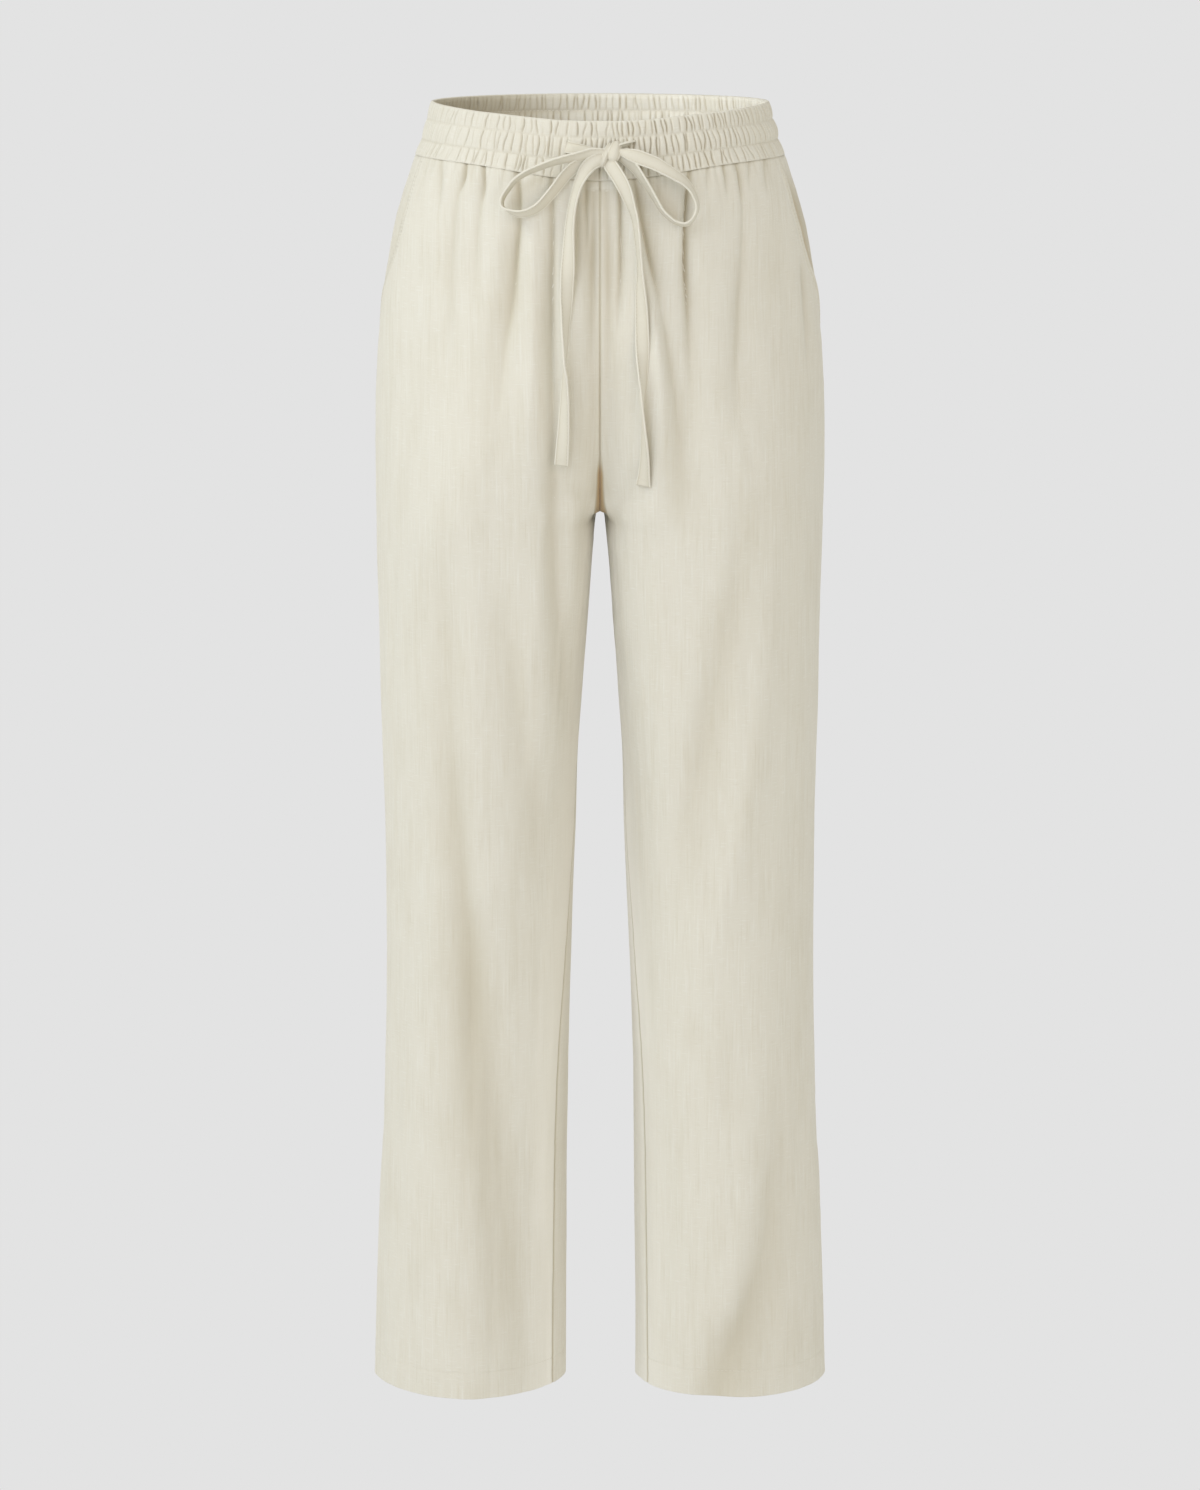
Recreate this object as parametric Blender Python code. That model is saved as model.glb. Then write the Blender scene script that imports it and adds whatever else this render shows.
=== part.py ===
"""Linen drawstring trousers, filled out as if worn, with nobody in them.

Metres. +Z is up, the front faces -Y, +X is the wearer's left. The origin is the
middle of the waist, halfway up the drawstring channel; the hems are at the bottom.

Every piece that is cut and sewn is its own solid: a gathered waistband, four leg
panels, two pocket facings and a flat drawstring tied in a bow.
"""

import math

import bmesh
import bpy

MM = 0.001
WALL = 1.4 * MM             # one wall stands for the linen and its seam turnings
SEAM_GAP = 0.3 * MM         # left between two pieces that are sewn together
HEM_HEIGHT = 22 * MM        # the hem is turned up inside
HEM_WALL = 2.6 * MM
FORK_Z = -299 * MM          # where the two legs part
HEM_Z = -1017 * MM

# The cut across the trousers at each height, one row a height, for the wearer's
# left half (the right half is its mirror image). half_width is the side seam's x.
# inner is the x of the leg's inside edge; it is below zero where the two legs' tubes
# still run into each other, and minus half_width where they are one ring. front and
# back are the furthest y each way, side_y is the side seam's y, and power is the
# curve's roundness (2 is an ellipse, less is more pointed).
SECTION_COLUMNS = ("z", "half_width", "inner", "front", "back", "side_y", "power")
SECTIONS_MM = (
    (23.6, 131.0, -131.0, 95.0, 96.0, 0.0, 2.0),
    (10.5, 134.0, -134.0, 98.0, 98.5, 0.0, 2.0),
    (-7.0, 139.0, -139.0, 102.5, 103.0, 0.0, 2.0),
    (-17.0, 144.0, -144.0, 107.0, 108.0, 0.5, 2.0),
    (-30.0, 148.4, -148.4, 110.0, 112.5, 1.0, 2.0),
    (-53.0, 156.0, -155.0, 113.5, 119.5, 2.0, 2.0),
    (-76.5, 162.3, -153.0, 116.0, 126.0, 3.0, 2.0),
    (-100.0, 166.5, -147.0, 117.5, 131.0, 4.0, 2.0),
    (-131.0, 171.7, -135.0, 119.0, 136.0, 5.0, 2.0),
    (-155.0, 173.9, -119.0, 119.5, 138.0, 6.0, 2.0),
    (-179.0, 175.7, -98.0, 119.5, 138.5, 7.0, 2.0),
    (-210.0, 177.3, -69.0, 119.0, 137.0, 8.0, 2.0),
    (-242.0, 177.8, -38.0, 117.5, 133.0, 8.0, 2.0),
    (-260.0, 177.8, -22.0, 116.0, 129.5, 8.0, 2.0),
    (-274.0, 177.7, -12.0, 114.5, 126.5, 8.0, 2.0),
    (-287.0, 177.5, -4.8, 113.0, 123.0, 7.5, 2.0),
    (-299.0, 177.2, 0.0, 111.5, 120.0, 7.0, 2.0),
    (-330.0, 176.7, 5.4, 107.5, 113.0, 6.0, 1.98),
    (-387.0, 175.3, 10.2, 101.5, 105.0, 5.0, 1.96),
    (-452.0, 174.6, 15.2, 96.0, 98.0, 4.0, 1.94),
    (-501.0, 173.5, 18.5, 92.0, 94.0, 3.0, 1.92),
    (-550.0, 172.6, 19.7, 88.0, 90.5, 2.0, 1.9),
    (-600.0, 172.5, 21.8, 84.5, 88.0, 2.0, 1.9),
    (-650.0, 172.6, 23.5, 81.5, 86.0, 2.0, 1.88),
    (-700.0, 173.3, 25.2, 79.0, 84.0, 1.5, 1.86),
    (-751.0, 174.9, 26.5, 77.0, 82.0, 1.0, 1.84),
    (-802.0, 176.6, 27.2, 75.0, 80.0, 1.0, 1.82),
    (-853.0, 180.0, 27.5, 73.5, 77.0, 1.0, 1.8),
    (-905.0, 182.0, 28.0, 72.0, 74.5, 0.5, 1.78),
    (-957.0, 184.0, 28.5, 71.0, 72.0, 0.0, 1.76),
    (-1017.0, 186.2, 28.8, 70.0, 70.0, 0.0, 1.75),
)

# The waist dips towards the middle of the front, in a soft V: how far each height
# is lowered there. The back stays level.
DIP_COLUMNS = ("z", "dip")
DIPS_MM = (
    (23.6, 9.6),
    (10.5, 8.5),
    (-7.0, 10.3),
    (-17.0, 12.8),
    (-60.0, 9.0),
    (-150.0, 0.0),
)
VEE_ROUNDING = 0.12

# The waistband from its rim down, one row a ring of points. puff is how far the cloth
# stands out from the cut above, gather how deep the gathers are there, and turn how
# far the gathers have jogged sideways, as a share of one gather.
GATHERS = 96
COLUMNS_PER_GATHER = 3
BAND_COLUMNS = ("z", "puff", "gather", "turn")
BAND_OUTSIDE_MM = (
    (23.6, 0.0, 1.2, 0.0),
    (17.0, 1.2, 1.3, 0.1),
    (10.5, 0.0, 0.7, 0.0),
    (5.0, 2.4, 1.2, 0.45),
    (-2.0, 2.2, 1.3, 0.5),
    (-7.0, 0.0, 0.7, 0.4),
    (-12.0, 1.0, 1.3, 0.1),
    (-17.0, 0.0, 1.0, 0.0),
)
BAND_INSIDE_MM = (
    (-17.0, 0.0, 0.7, 0.0),
    (-7.0, 0.0, 0.5, 0.4),
    (10.5, 0.0, 0.5, 0.0),
    (23.6, 0.0, 0.8, 0.0),
)

# The heights the leg panels have points at.
PANEL_HEIGHTS_MM = (
    -17, -26, -38, -55, -78, -105, -135, -165, -195, -220, -243, -262, -276, -288,
    -299, -325, -365, -420, -490, -570, -655, -740, -820, -890, -950, -994.5, -995.5, -1017,
)
PANEL_COLUMNS = 18

# Folds running down from the waist seam, one row a fold. The angle is measured round
# the section from the middle of the front (90 is the side seam, 180 the middle of the
# back), where the fold starts and where it ends.
FOLD_COLUMNS = ("piece", "top_angle", "end_angle", "end_z", "depth", "half_width")
FOLDS = (
    ("front_left", 6.5, 8.0, -90, 2.0, 7),
    ("front_left", 12.5, 21.0, -215, 3.8, 9),
    ("front_left", 28.5, 28.0, -130, 4.2, 9),
    ("front_left", 42.5, 43.0, -60, 2.2, 7),
    ("front_left", 50.0, 52.0, -75, 2.2, 7),
    ("front_left", 62.5, 63.0, -60, 2.0, 7),
    ("front_right", 4.5, 5.0, -75, 1.8, 7),
    ("front_right", 16.5, 18.0, -180, 3.0, 9),
    ("front_right", 26.5, 27.0, -165, 4.6, 9),
    ("front_right", 39.5, 40.0, -95, 3.2, 9),
    ("front_right", 50.0, 60.0, -130, 3.6, 9),
    ("front_right", 61.0, 62.0, -60, 2.0, 7),
    ("back_left", 172.0, 171.0, -110, 2.6, 8),
    ("back_left", 160.0, 158.0, -150, 3.6, 9),
    ("back_left", 147.0, 146.0, -95, 3.0, 9),
    ("back_left", 133.0, 130.0, -130, 3.6, 9),
    ("back_left", 119.0, 118.0, -80, 2.6, 8),
    ("back_left", 105.0, 104.0, -100, 2.8, 8),
    ("back_right", 174.0, 173.0, -95, 2.4, 8),
    ("back_right", 162.5, 161.0, -120, 3.2, 9),
    ("back_right", 150.0, 147.0, -160, 3.8, 9),
    ("back_right", 136.0, 135.0, -90, 2.8, 9),
    ("back_right", 122.0, 120.0, -125, 3.2, 9),
    ("back_right", 107.0, 106.0, -85, 2.6, 8),
)

# The pocket mouth: its edge slants from the waist seam back to the side seam.
POCKET_COLUMNS = ("z", "angle")
POCKET_EDGE = (
    (-17.0, 72.0),
    (-45.0, 75.5),
    (-80.0, 80.0),
    (-110.0, 84.5),
    (-135.0, 88.2),
    (-145.0, 90.0),
)
FACING_HEIGHTS_MM = (-17, -26, -38, -55, -78, -105, -135, -165)
FACING_WALL = 1.0 * MM
FACING_GAP = 0.8 * MM

# The inside-leg seam swings to the front below the knee.
INSEAM_COLUMNS = ("z", "swing_degrees")
INSEAM_SWING = (
    (-299.0, 0.0),
    (-535.0, 0.0),
    (-700.0, 10.0),
    (-850.0, 20.0),
    (-1017.0, 26.0),
)

# The drawstring: flat tape laid along points, one row a point. off is how far its
# middle stands out from the cloth behind it, and tilt how far its face is turned
# away from the front.
TAPE_WIDTH = 11 * MM
TAPE_THICK = 1.3 * MM
TAPE_COLUMNS = ("x", "z", "off", "tilt")
LEAD_RIGHT_MM = (
    (-23.8, -4.6, 4.3, 2),
    (-16.6, -5.7, 4.8, 3),
    (-8.3, -7.1, 5.2, 4),
    (0.8, -9.3, 5.4, 4),
)
LEAD_LEFT_MM = (
    (23.5, -4.8, 4.3, -2),
    (18.9, -5.9, 4.8, -3),
    (12.9, -7.6, 5.2, -4),
    (6.1, -9.3, 5.4, -4),
)
LOOP_RIGHT_MM = (
    (0.0, -8.5, 12.6, 14),
    (-9.8, -8.2, 13.6, 34),
    (-18.9, -9.5, 14.6, 56),
    (-25.9, -11.0, 15.2, 64),
    (-35.1, -13.7, 15.6, 66),
    (-46.7, -18.7, 15.6, 68),
    (-55.9, -23.0, 15.2, 69),
    (-63.5, -28.5, 14.6, 70),
    (-68.8, -34.7, 13.8, 71),
    (-72.7, -40.6, 13.0, 73),
    (-74.4, -45.8, 12.2, 78),
    (-72.3, -50.4, 11.4, 92),
    (-62.8, -54.1, 10.2, 118),
    (-53.7, -52.8, 9.2, 126),
    (-45.6, -48.2, 8.6, 130),
    (-39.3, -41.6, 8.0, 134),
    (-32.9, -34.0, 7.4, 138),
    (-25.9, -25.3, 7.0, 144),
    (-18.9, -19.0, 7.2, 152),
    (-10.9, -14.4, 7.6, 160),
    (0.8, -11.6, 8.2, 168),
)
LOOP_LEFT_MM = (
    (6.0, -7.8, 12.6, 8),
    (16.9, -8.0, 14.2, 8),
    (24.9, -10.3, 15.2, 8),
    (31.9, -12.5, 15.8, 12),
    (41.1, -16.0, 16.0, 22),
    (49.2, -20.6, 15.8, 40),
    (57.3, -25.3, 15.4, 50),
    (64.3, -30.1, 14.8, 62),
    (69.6, -36.7, 14.0, 72),
    (73.1, -44.5, 13.0, 76),
    (73.7, -50.7, 12.2, 77),
    (71.9, -55.9, 11.4, 77),
    (68.5, -60.2, 10.8, 75),
    (63.3, -62.0, 10.2, 74),
    (56.9, -60.2, 9.6, 74),
    (51.7, -56.5, 9.2, 74),
    (46.4, -51.0, 8.8, 73),
    (41.8, -43.4, 8.4, 70),
    (36.6, -34.5, 8.8, 66),
    (31.4, -26.6, 9.4, 60),
    (26.2, -19.9, 8.6, 46),
    (19.7, -14.5, 7.8, 28),
    (6.0, -10.6, 7.8, 14),
)
TAIL_RIGHT_MM = (
    (-0.8, -14.0, 12.4, -4),
    (-7.5, -17.3, 12.8, -10),
    (-13.6, -22.8, 12.4, -28),
    (-18.1, -33.5, 10.6, -56),
    (-21.1, -48.4, 8.8, -56),
    (-23.0, -63.4, 7.4, -50),
    (-24.0, -85.8, 5.6, -28),
    (-25.1, -106.0, 4.6, 14),
    (-25.6, -118.3, 4.6, 28),
    (-25.8, -127.3, 5.0, 42),
    (-26.4, -139.4, 6.1, 58),
    (-26.4, -152.9, 6.6, 70),
    (-26.6, -166.6, 6.8, 84),
    (-26.7, -176.6, 6.9, 106),
    (-26.7, -190.2, 6.9, 121),
    (-27.2, -204.2, 6.8, 133),
    (-27.8, -218.0, 6.4, 144),
    (-28.5, -229.2, 5.6, 156),
    (-29.7, -245.8, 4.4, 172),
)
TAIL_LEFT_MM = (
    (5.3, -14.0, 11.0, -4),
    (9.1, -19.5, 11.6, -6),
    (14.8, -27.2, 11.6, -10),
    (20.2, -36.1, 11.0, -24),
    (23.4, -46.2, 9.8, -50),
    (26.6, -58.1, 8.6, -64),
    (28.4, -73.1, 7.5, -69),
    (29.7, -86.7, 6.4, -72),
    (30.4, -98.0, 6.3, -68),
    (30.6, -107.0, 5.8, -56),
    (31.0, -116.1, 5.0, -42),
    (31.5, -126.6, 4.1, -30),
    (31.9, -139.5, 3.4, -18),
    (32.2, -152.4, 3.0, 2),
    (32.3, -162.2, 4.5, 25),
    (32.4, -170.5, 5.9, 42),
    (32.7, -179.7, 6.6, 56),
    (32.8, -187.3, 6.9, 68),
    (32.7, -197.2, 6.9, 82),
    (33.0, -208.1, 6.8, 94),
    (33.6, -221.3, 7.1, 106),
    (34.0, -231.9, 7.2, 116),
    (34.1, -242.9, 7.1, 125),
    (33.7, -253.1, 6.6, 140),
    (33.0, -261.9, 5.5, 158),
)

# The knot: a rolled barrel of tape, lying slantwise over the middle of the front.
KNOT_X = 4.2 * MM
KNOT_Z = -11.4 * MM
KNOT_OFF = 10.0 * MM
KNOT_SLANT = math.radians(44)
KNOT_LONG = 11.0 * MM
KNOT_DEEP = 5.6 * MM
KNOT_TALL = 8.0 * MM
KNOT_CLEAR = 0.4 * MM


def column(columns, rows, name):
    """The values of one named column, in millimetres or degrees as written."""
    place = columns.index(name)
    return [row[place] for row in rows]


def slopes(xs, ys):
    """Slopes for a curve through the points that never overshoots them."""
    steps = []
    for i in range(len(xs) - 1):
        steps.append((ys[i + 1] - ys[i]) / (xs[i + 1] - xs[i]))
    result = [steps[0]]
    for before, after in zip(steps, steps[1:]):
        if before * after <= 0.0:
            result.append(0.0)
        else:
            result.append(2.0 * before * after / (before + after))
    result.append(steps[-1])
    return result


def curve_through(columns, rows, name, first="z"):
    """A function of height that runs smoothly through one column of a table."""
    points = sorted(zip(column(columns, rows, first), column(columns, rows, name)))
    xs = [x for x, _ in points]
    ys = [y for _, y in points]
    ms = slopes(xs, ys)

    def value(x):
        if x <= xs[0]:
            return ys[0]
        if x >= xs[-1]:
            return ys[-1]
        i = 0
        while x > xs[i + 1]:
            i += 1
        span = xs[i + 1] - xs[i]
        s = (x - xs[i]) / span
        s2 = s * s
        s3 = s2 * s
        start = (2 * s3 - 3 * s2 + 1) * ys[i] + (s3 - 2 * s2 + s) * span * ms[i]
        end = (3 * s2 - 2 * s3) * ys[i + 1] + (s3 - s2) * span * ms[i + 1]
        return start + end

    return value


HALF_WIDTH = curve_through(SECTION_COLUMNS, SECTIONS_MM, "half_width")
INNER = curve_through(SECTION_COLUMNS, SECTIONS_MM, "inner")
FRONT = curve_through(SECTION_COLUMNS, SECTIONS_MM, "front")
BACK = curve_through(SECTION_COLUMNS, SECTIONS_MM, "back")
SIDE_Y = curve_through(SECTION_COLUMNS, SECTIONS_MM, "side_y")
POWER = curve_through(SECTION_COLUMNS, SECTIONS_MM, "power")
DIP = curve_through(DIP_COLUMNS, DIPS_MM, "dip")
POCKET_ANGLE = curve_through(POCKET_COLUMNS, POCKET_EDGE, "angle")
SWING = curve_through(INSEAM_COLUMNS, INSEAM_SWING, "swing_degrees")


def vee(angle):
    """0 at the middle of the front, 1 from the side seams back."""
    if math.cos(angle) <= 0.0:
        return 1.0
    full = math.sqrt(1.0 + VEE_ROUNDING ** 2) - VEE_ROUNDING
    part = math.sqrt(math.sin(angle) ** 2 + VEE_ROUNDING ** 2) - VEE_ROUNDING
    return part / full


def rounded(value, power):
    """value, which is a sine or a cosine, bent to the section's roundness."""
    return math.copysign(abs(value) ** (2.0 / power), value)


def half_centre(height):
    """Centre and reach in x of one half's section, in millimetres."""
    half_width = HALF_WIDTH(height)
    inner = INNER(height)
    return (half_width + inner) / 2.0, (half_width - inner) / 2.0


def first_angle(height):
    """The angle at which one half's section starts: middle of the front or inseam."""
    centre, reach = half_centre(height)
    if centre >= reach:
        return -math.pi / 2
    share = (centre / reach) ** (POWER(height) / 2.0)
    return -math.asin(share)


def section_point(angle, height, out=0.0):
    """A point of the wearer's left half. height and out are in millimetres."""
    centre, reach = half_centre(height)
    side_y = SIDE_Y(height)
    power = POWER(height)
    sine = rounded(math.sin(angle), power)
    cosine = rounded(math.cos(angle), power)
    if cosine >= 0.0:
        depth = FRONT(height) + side_y
    else:
        depth = BACK(height) - side_y
    x = centre + (reach + out) * sine
    y = side_y - (depth + out) * cosine
    z = height - DIP(height) * (1.0 - vee(angle))
    return (x * MM, y * MM, z * MM)


def smooth_step(value):
    """0 below 0, 1 above 1, and a soft ramp between."""
    value = min(1.0, max(0.0, value))
    return value * value * (3.0 - 2.0 * value)


def fold_depth(piece, angle, height):
    """How far the folds pull the cloth inward here, in millimetres."""
    total = 0.0
    reach = half_centre(height)[1]
    for name, top_angle, end_angle, end_z, depth, half_width in FOLDS:
        if name != piece or height < end_z:
            continue
        down = (-17.0 - height) / (-17.0 - end_z)
        middle = math.radians(top_angle + (end_angle - top_angle) * down)
        width = half_width * (1.0 + 0.8 * down) / reach
        fade = (0.35 + 0.65 * smooth_step(down * 5.0)) * (1.0 - smooth_step(down))
        total += depth * fade * math.exp(-((angle - middle) / width) ** 2)
    return total


def minus(a, b):
    return (a[0] - b[0], a[1] - b[1], a[2] - b[2])


def plus_scaled(a, b, scale):
    return (a[0] + b[0] * scale, a[1] + b[1] * scale, a[2] + b[2] * scale)


def cross(a, b):
    return (
        a[1] * b[2] - a[2] * b[1],
        a[2] * b[0] - a[0] * b[2],
        a[0] * b[1] - a[1] * b[0],
    )


def unit(a):
    length = math.sqrt(a[0] ** 2 + a[1] ** 2 + a[2] ** 2)
    return (a[0] / length, a[1] / length, a[2] / length)


def outward(piece, angle, height):
    """The direction that points out of the cloth, from two short steps along it."""
    turn = 0.02
    rise = 1.5
    across = minus(cloth_point(piece, angle + turn, height), cloth_point(piece, angle - turn, height))
    upward = minus(cloth_point(piece, angle, height + rise), cloth_point(piece, angle, height - rise))
    return unit(cross(across, upward))


def cloth_point(piece, angle, height):
    """A point on the outside of a panel, folds included, on the wearer's left half."""
    return section_point(angle, height, -fold_depth(piece, angle, height))


def make_object(name, points, faces):
    """A mesh object from points and faces, in the trousers' collection."""
    mesh = bpy.data.meshes.new(name)
    mesh.from_pydata(points, [], faces)
    shape = bmesh.new()
    shape.from_mesh(mesh)
    bmesh.ops.recalc_face_normals(shape, faces=shape.faces)
    shape.to_mesh(mesh)
    shape.free()
    piece = bpy.data.objects.new(name, mesh)
    TROUSERS.objects.link(piece)
    return piece


def make_wall(name, outside, inside, ring, mirror):
    """A closed wall between two grids of points that match row by row."""
    rows = len(outside)
    inner_rows = len(inside)
    count = len(outside[0])
    points = [point for row in outside for point in row]
    points += [point for row in inside for point in row]
    total = rows + inner_rows
    gaps = count if ring else count - 1
    faces = []
    for row in range(total):
        below = (row + 1) % total
        for i in range(gaps):
            j = (i + 1) % count
            faces.append((row * count + i, row * count + j, below * count + j, below * count + i))
    if not ring:
        for i in (0, count - 1):
            for row in range(rows - 1):
                twin = total - 1 - row
                faces.append((row * count + i, (row + 1) * count + i, (twin - 1) * count + i, twin * count + i))
    if mirror:
        points = [(-x, y, z) for x, y, z in points]
    return make_object(name, points, faces)


def panel_spacing(piece, centre_angle, side_angle):
    """Where a panel's columns of points go: on each fold, and evenly between folds."""
    marks = [0.0, 1.0]
    for name, top_angle, _, _, _, _ in FOLDS:
        if name == piece:
            share = (math.radians(top_angle) - centre_angle) / (side_angle - centre_angle)
            marks.append(share)
    marks.sort()
    while len(marks) < PANEL_COLUMNS:
        gaps = [after - before for before, after in zip(marks, marks[1:])]
        widest = gaps.index(max(gaps))
        marks.insert(widest + 1, (marks[widest] + marks[widest + 1]) / 2.0)
    return marks


def panel_edges(piece, height):
    """The angles of a panel's middle (or inside-leg) edge and of its side edge."""
    start = first_angle(height)
    swing = math.radians(SWING(height))
    side = math.pi / 2
    if piece.startswith("front"):
        if height > POCKET_EDGE[-1][0]:
            side = math.radians(POCKET_ANGLE(height))
        return start + swing, side
    return math.pi - start + swing, side


def make_panel(piece):
    """One leg panel: front or back, left or right."""
    front = piece.startswith("front")
    centre_angle = 0.0 if front else math.pi
    side_angle = panel_edges(piece, PANEL_HEIGHTS_MM[0])[1]
    spacing = panel_spacing(piece, centre_angle, side_angle)
    outside = []
    inside = []
    for height in PANEL_HEIGHTS_MM:
        top = height == PANEL_HEIGHTS_MM[0]
        bottom = height == PANEL_HEIGHTS_MM[-1]
        start, end = panel_edges(piece, height)
        wall = HEM_WALL if height < HEM_Z / MM + HEM_HEIGHT / MM else WALL
        outer_row = []
        inner_row = []
        for share in spacing:
            angle = start + share * (end - start)
            trim = seam_trim(share, end - start, height)
            point = cloth_point(piece, angle + trim, height)
            if top:
                point = (point[0], point[1], point[2] - SEAM_GAP)
            inner = plus_scaled(point, outward(piece, angle + trim, height), -wall)
            if top or bottom:
                inner = (inner[0], inner[1], point[2])
            outer_row.append(off_centre(point))
            inner_row.append(off_centre(inner))
        outside.append(outer_row)
        inside.append(inner_row)
    inside.reverse()
    return make_wall(piece, outside, inside, False, piece.endswith("right"))


def seam_trim(share, span, height):
    """The small turn that keeps a panel's edges clear of the panel sewn to it."""
    reach = half_centre(height)[1]
    turn = math.copysign(SEAM_GAP / MM / 2.0 / reach, span)
    if share == 1.0:
        return -turn
    if share == 0.0 and height < FORK_Z / MM + 1.0:
        return turn
    return 0.0


def off_centre(point):
    """The point kept half a seam's gap away from the middle plane."""
    return (max(point[0], SEAM_GAP / 2.0), point[1], point[2])


def make_facing(piece):
    """The pocket facing that shows behind the slanted mouth, just inside the panels."""
    outside = []
    inside = []
    front = piece.replace("pocket_facing", "front")
    back = piece.replace("pocket_facing", "back")
    shares = (0.0, 0.25, 0.5, 0.75, 1.0)
    for height in FACING_HEIGHTS_MM:
        reach = half_centre(height)[1]
        edge = math.radians(POCKET_ANGLE(height))
        start = edge - 9.0 / reach
        end = math.pi / 2 + 7.0 / reach
        outer_row = []
        inner_row = []
        for share in shares:
            angle = start + share * (end - start)
            panel = front if angle < math.pi / 2 else back
            point = cloth_point(panel, angle, height)
            out = outward(panel, angle, height)
            outer = plus_scaled(point, out, -(WALL + FACING_GAP))
            inner = plus_scaled(point, out, -(WALL + FACING_GAP + FACING_WALL))
            if height == FACING_HEIGHTS_MM[0]:
                top = point[2] - SEAM_GAP
                outer = (outer[0], outer[1], top)
                inner = (inner[0], inner[1], top)
            outer_row.append(outer)
            inner_row.append(inner)
        outside.append(outer_row)
        inside.append(inner_row)
    inside.reverse()
    return make_wall(piece, outside, inside, False, piece.endswith("right"))


def band_ring(height, puff, gather, turn, inset):
    """One ring of the waistband's points, all the way round."""
    ring = []
    count = GATHERS * COLUMNS_PER_GATHER
    for i in range(count):
        number = i // COLUMNS_PER_GATHER
        uneven = 1.0 + 0.25 * math.sin(2.4 * number) + 0.15 * math.sin(5.1 * number + 1.0)
        wander = 0.25 * math.sin(1.7 * number + 0.4) + turn
        angle = (i + wander) / count * 2.0 * math.pi
        valley = i % COLUMNS_PER_GATHER == 0
        lift = -gather if valley else 0.5 * gather
        out = puff + lift * uneven - inset
        ring.append(ring_point(angle, height, out))
    return ring


def ring_point(angle, height, out):
    """A point at any angle round the whole waist."""
    folded = (angle + math.pi) % (2.0 * math.pi) - math.pi
    point = section_point(abs(folded), height, out)
    return point if folded >= 0.0 else (-point[0], point[1], point[2])


def make_waistband():
    """The gathered waistband: three puffed strips with a stitched line between each."""
    outside = [band_ring(*row, inset=0.0) for row in BAND_OUTSIDE_MM]
    inside = [band_ring(*row, inset=1.6) for row in BAND_INSIDE_MM]
    return make_wall("waistband", outside, inside, True, False)


def front_y(x, z):
    """The y of the cloth's front at this x and height, all in millimetres."""
    height = z
    angle = 0.0
    for _ in range(4):
        centre, reach = half_centre(height)
        sine = max(-1.0, min(1.0, (abs(x) - centre) / reach))
        angle = math.asin(sine)
        height = z + DIP(height) * (1.0 - vee(angle))
    return section_point(angle, height)[1] / MM


def tape_path(rows):
    """The points along the tape, in millimetres, each with its tilt."""
    return [(x, front_y(x, z) - off, z, tilt) for x, z, off, tilt in rows]


def knot_centre():
    y = front_y(KNOT_X / MM, KNOT_Z / MM) * MM - KNOT_OFF
    return (KNOT_X, y, KNOT_Z)


def outside_knot(ring):
    """True where all the corners of a ring of the tape clear the knot."""
    for corner in ring:
        gap = minus(corner, knot_centre())
        along = gap[0] * math.cos(KNOT_SLANT) + gap[2] * math.sin(KNOT_SLANT)
        up = gap[2] * math.cos(KNOT_SLANT) - gap[0] * math.sin(KNOT_SLANT)
        far = (along / (KNOT_LONG + KNOT_CLEAR)) ** 2
        far += (gap[1] / (KNOT_DEEP + KNOT_CLEAR)) ** 2
        far += (up / (KNOT_TALL + KNOT_CLEAR)) ** 2
        if far < 1.0:
            return False
    return True


def part_way(ring, next_ring, share):
    """The ring this share of the way from one ring to the next."""
    return [plus_scaled(a, minus(b, a), share) for a, b in zip(ring, next_ring)]


def knot_crossing(inner, outer):
    """The ring between these two at which the tape clears the knot."""
    low = 0.0
    high = 1.0
    for _ in range(20):
        share = (low + high) / 2.0
        if outside_knot(part_way(inner, outer, share)):
            high = share
        else:
            low = share
    return part_way(inner, outer, high)


def clear_of_knot(rings):
    """The rings cut off where the tape meets the knot, at whichever ends do."""
    kept = []
    for i, ring in enumerate(rings):
        before = rings[i - 1] if i > 0 else ring
        if outside_knot(ring):
            if not outside_knot(before):
                kept.append(knot_crossing(before, ring))
            kept.append(ring)
        elif outside_knot(before):
            kept.append(knot_crossing(ring, before))
    return kept


def tape_ring(middles, tilts, i):
    """The tape's corners, and the middles of its faces, at one point of its path."""
    ahead = middles[min(i + 1, len(middles) - 1)]
    behind = middles[max(i - 1, 0)]
    along = unit(minus(ahead, behind))
    across = unit(cross(along, (0.0, -1.0, 0.0)))
    straight_out = unit(cross(across, along))
    tilt = math.radians(tilts[i])
    wide = plus_scaled((0.0, 0.0, 0.0), across, math.cos(tilt))
    wide = unit(plus_scaled(wide, straight_out, math.sin(tilt)))
    thick = unit(cross(wide, along))
    ring = []
    for side, face in ((-1, -1), (0, -1), (1, -1), (1, 1), (0, 1), (-1, 1)):
        corner = plus_scaled(middles[i], wide, side * TAPE_WIDTH / 2.0)
        ring.append(plus_scaled(corner, thick, face * TAPE_THICK / 2.0))
    return ring


def make_tape(name, rows):
    """A length of flat tape along its points, ending where it reaches the knot."""
    path = tape_path(rows)
    middles = [(x * MM, y * MM, z * MM) for x, y, z, _ in path]
    tilts = [tilt for _, _, _, tilt in path]
    rings = clear_of_knot([tape_ring(middles, tilts, i) for i in range(len(path))])
    points = [corner for ring in rings for corner in ring]
    faces = []
    for row in range(len(rings) - 1):
        for i in range(6):
            j = (i + 1) % 6
            faces.append((row * 6 + i, row * 6 + j, row * 6 + 6 + j, row * 6 + 6 + i))
    last = (len(rings) - 1) * 6
    faces.append(tuple(range(5, -1, -1)))
    faces.append(tuple(range(last, last + 6)))
    return make_object(name, points, faces)


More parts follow.
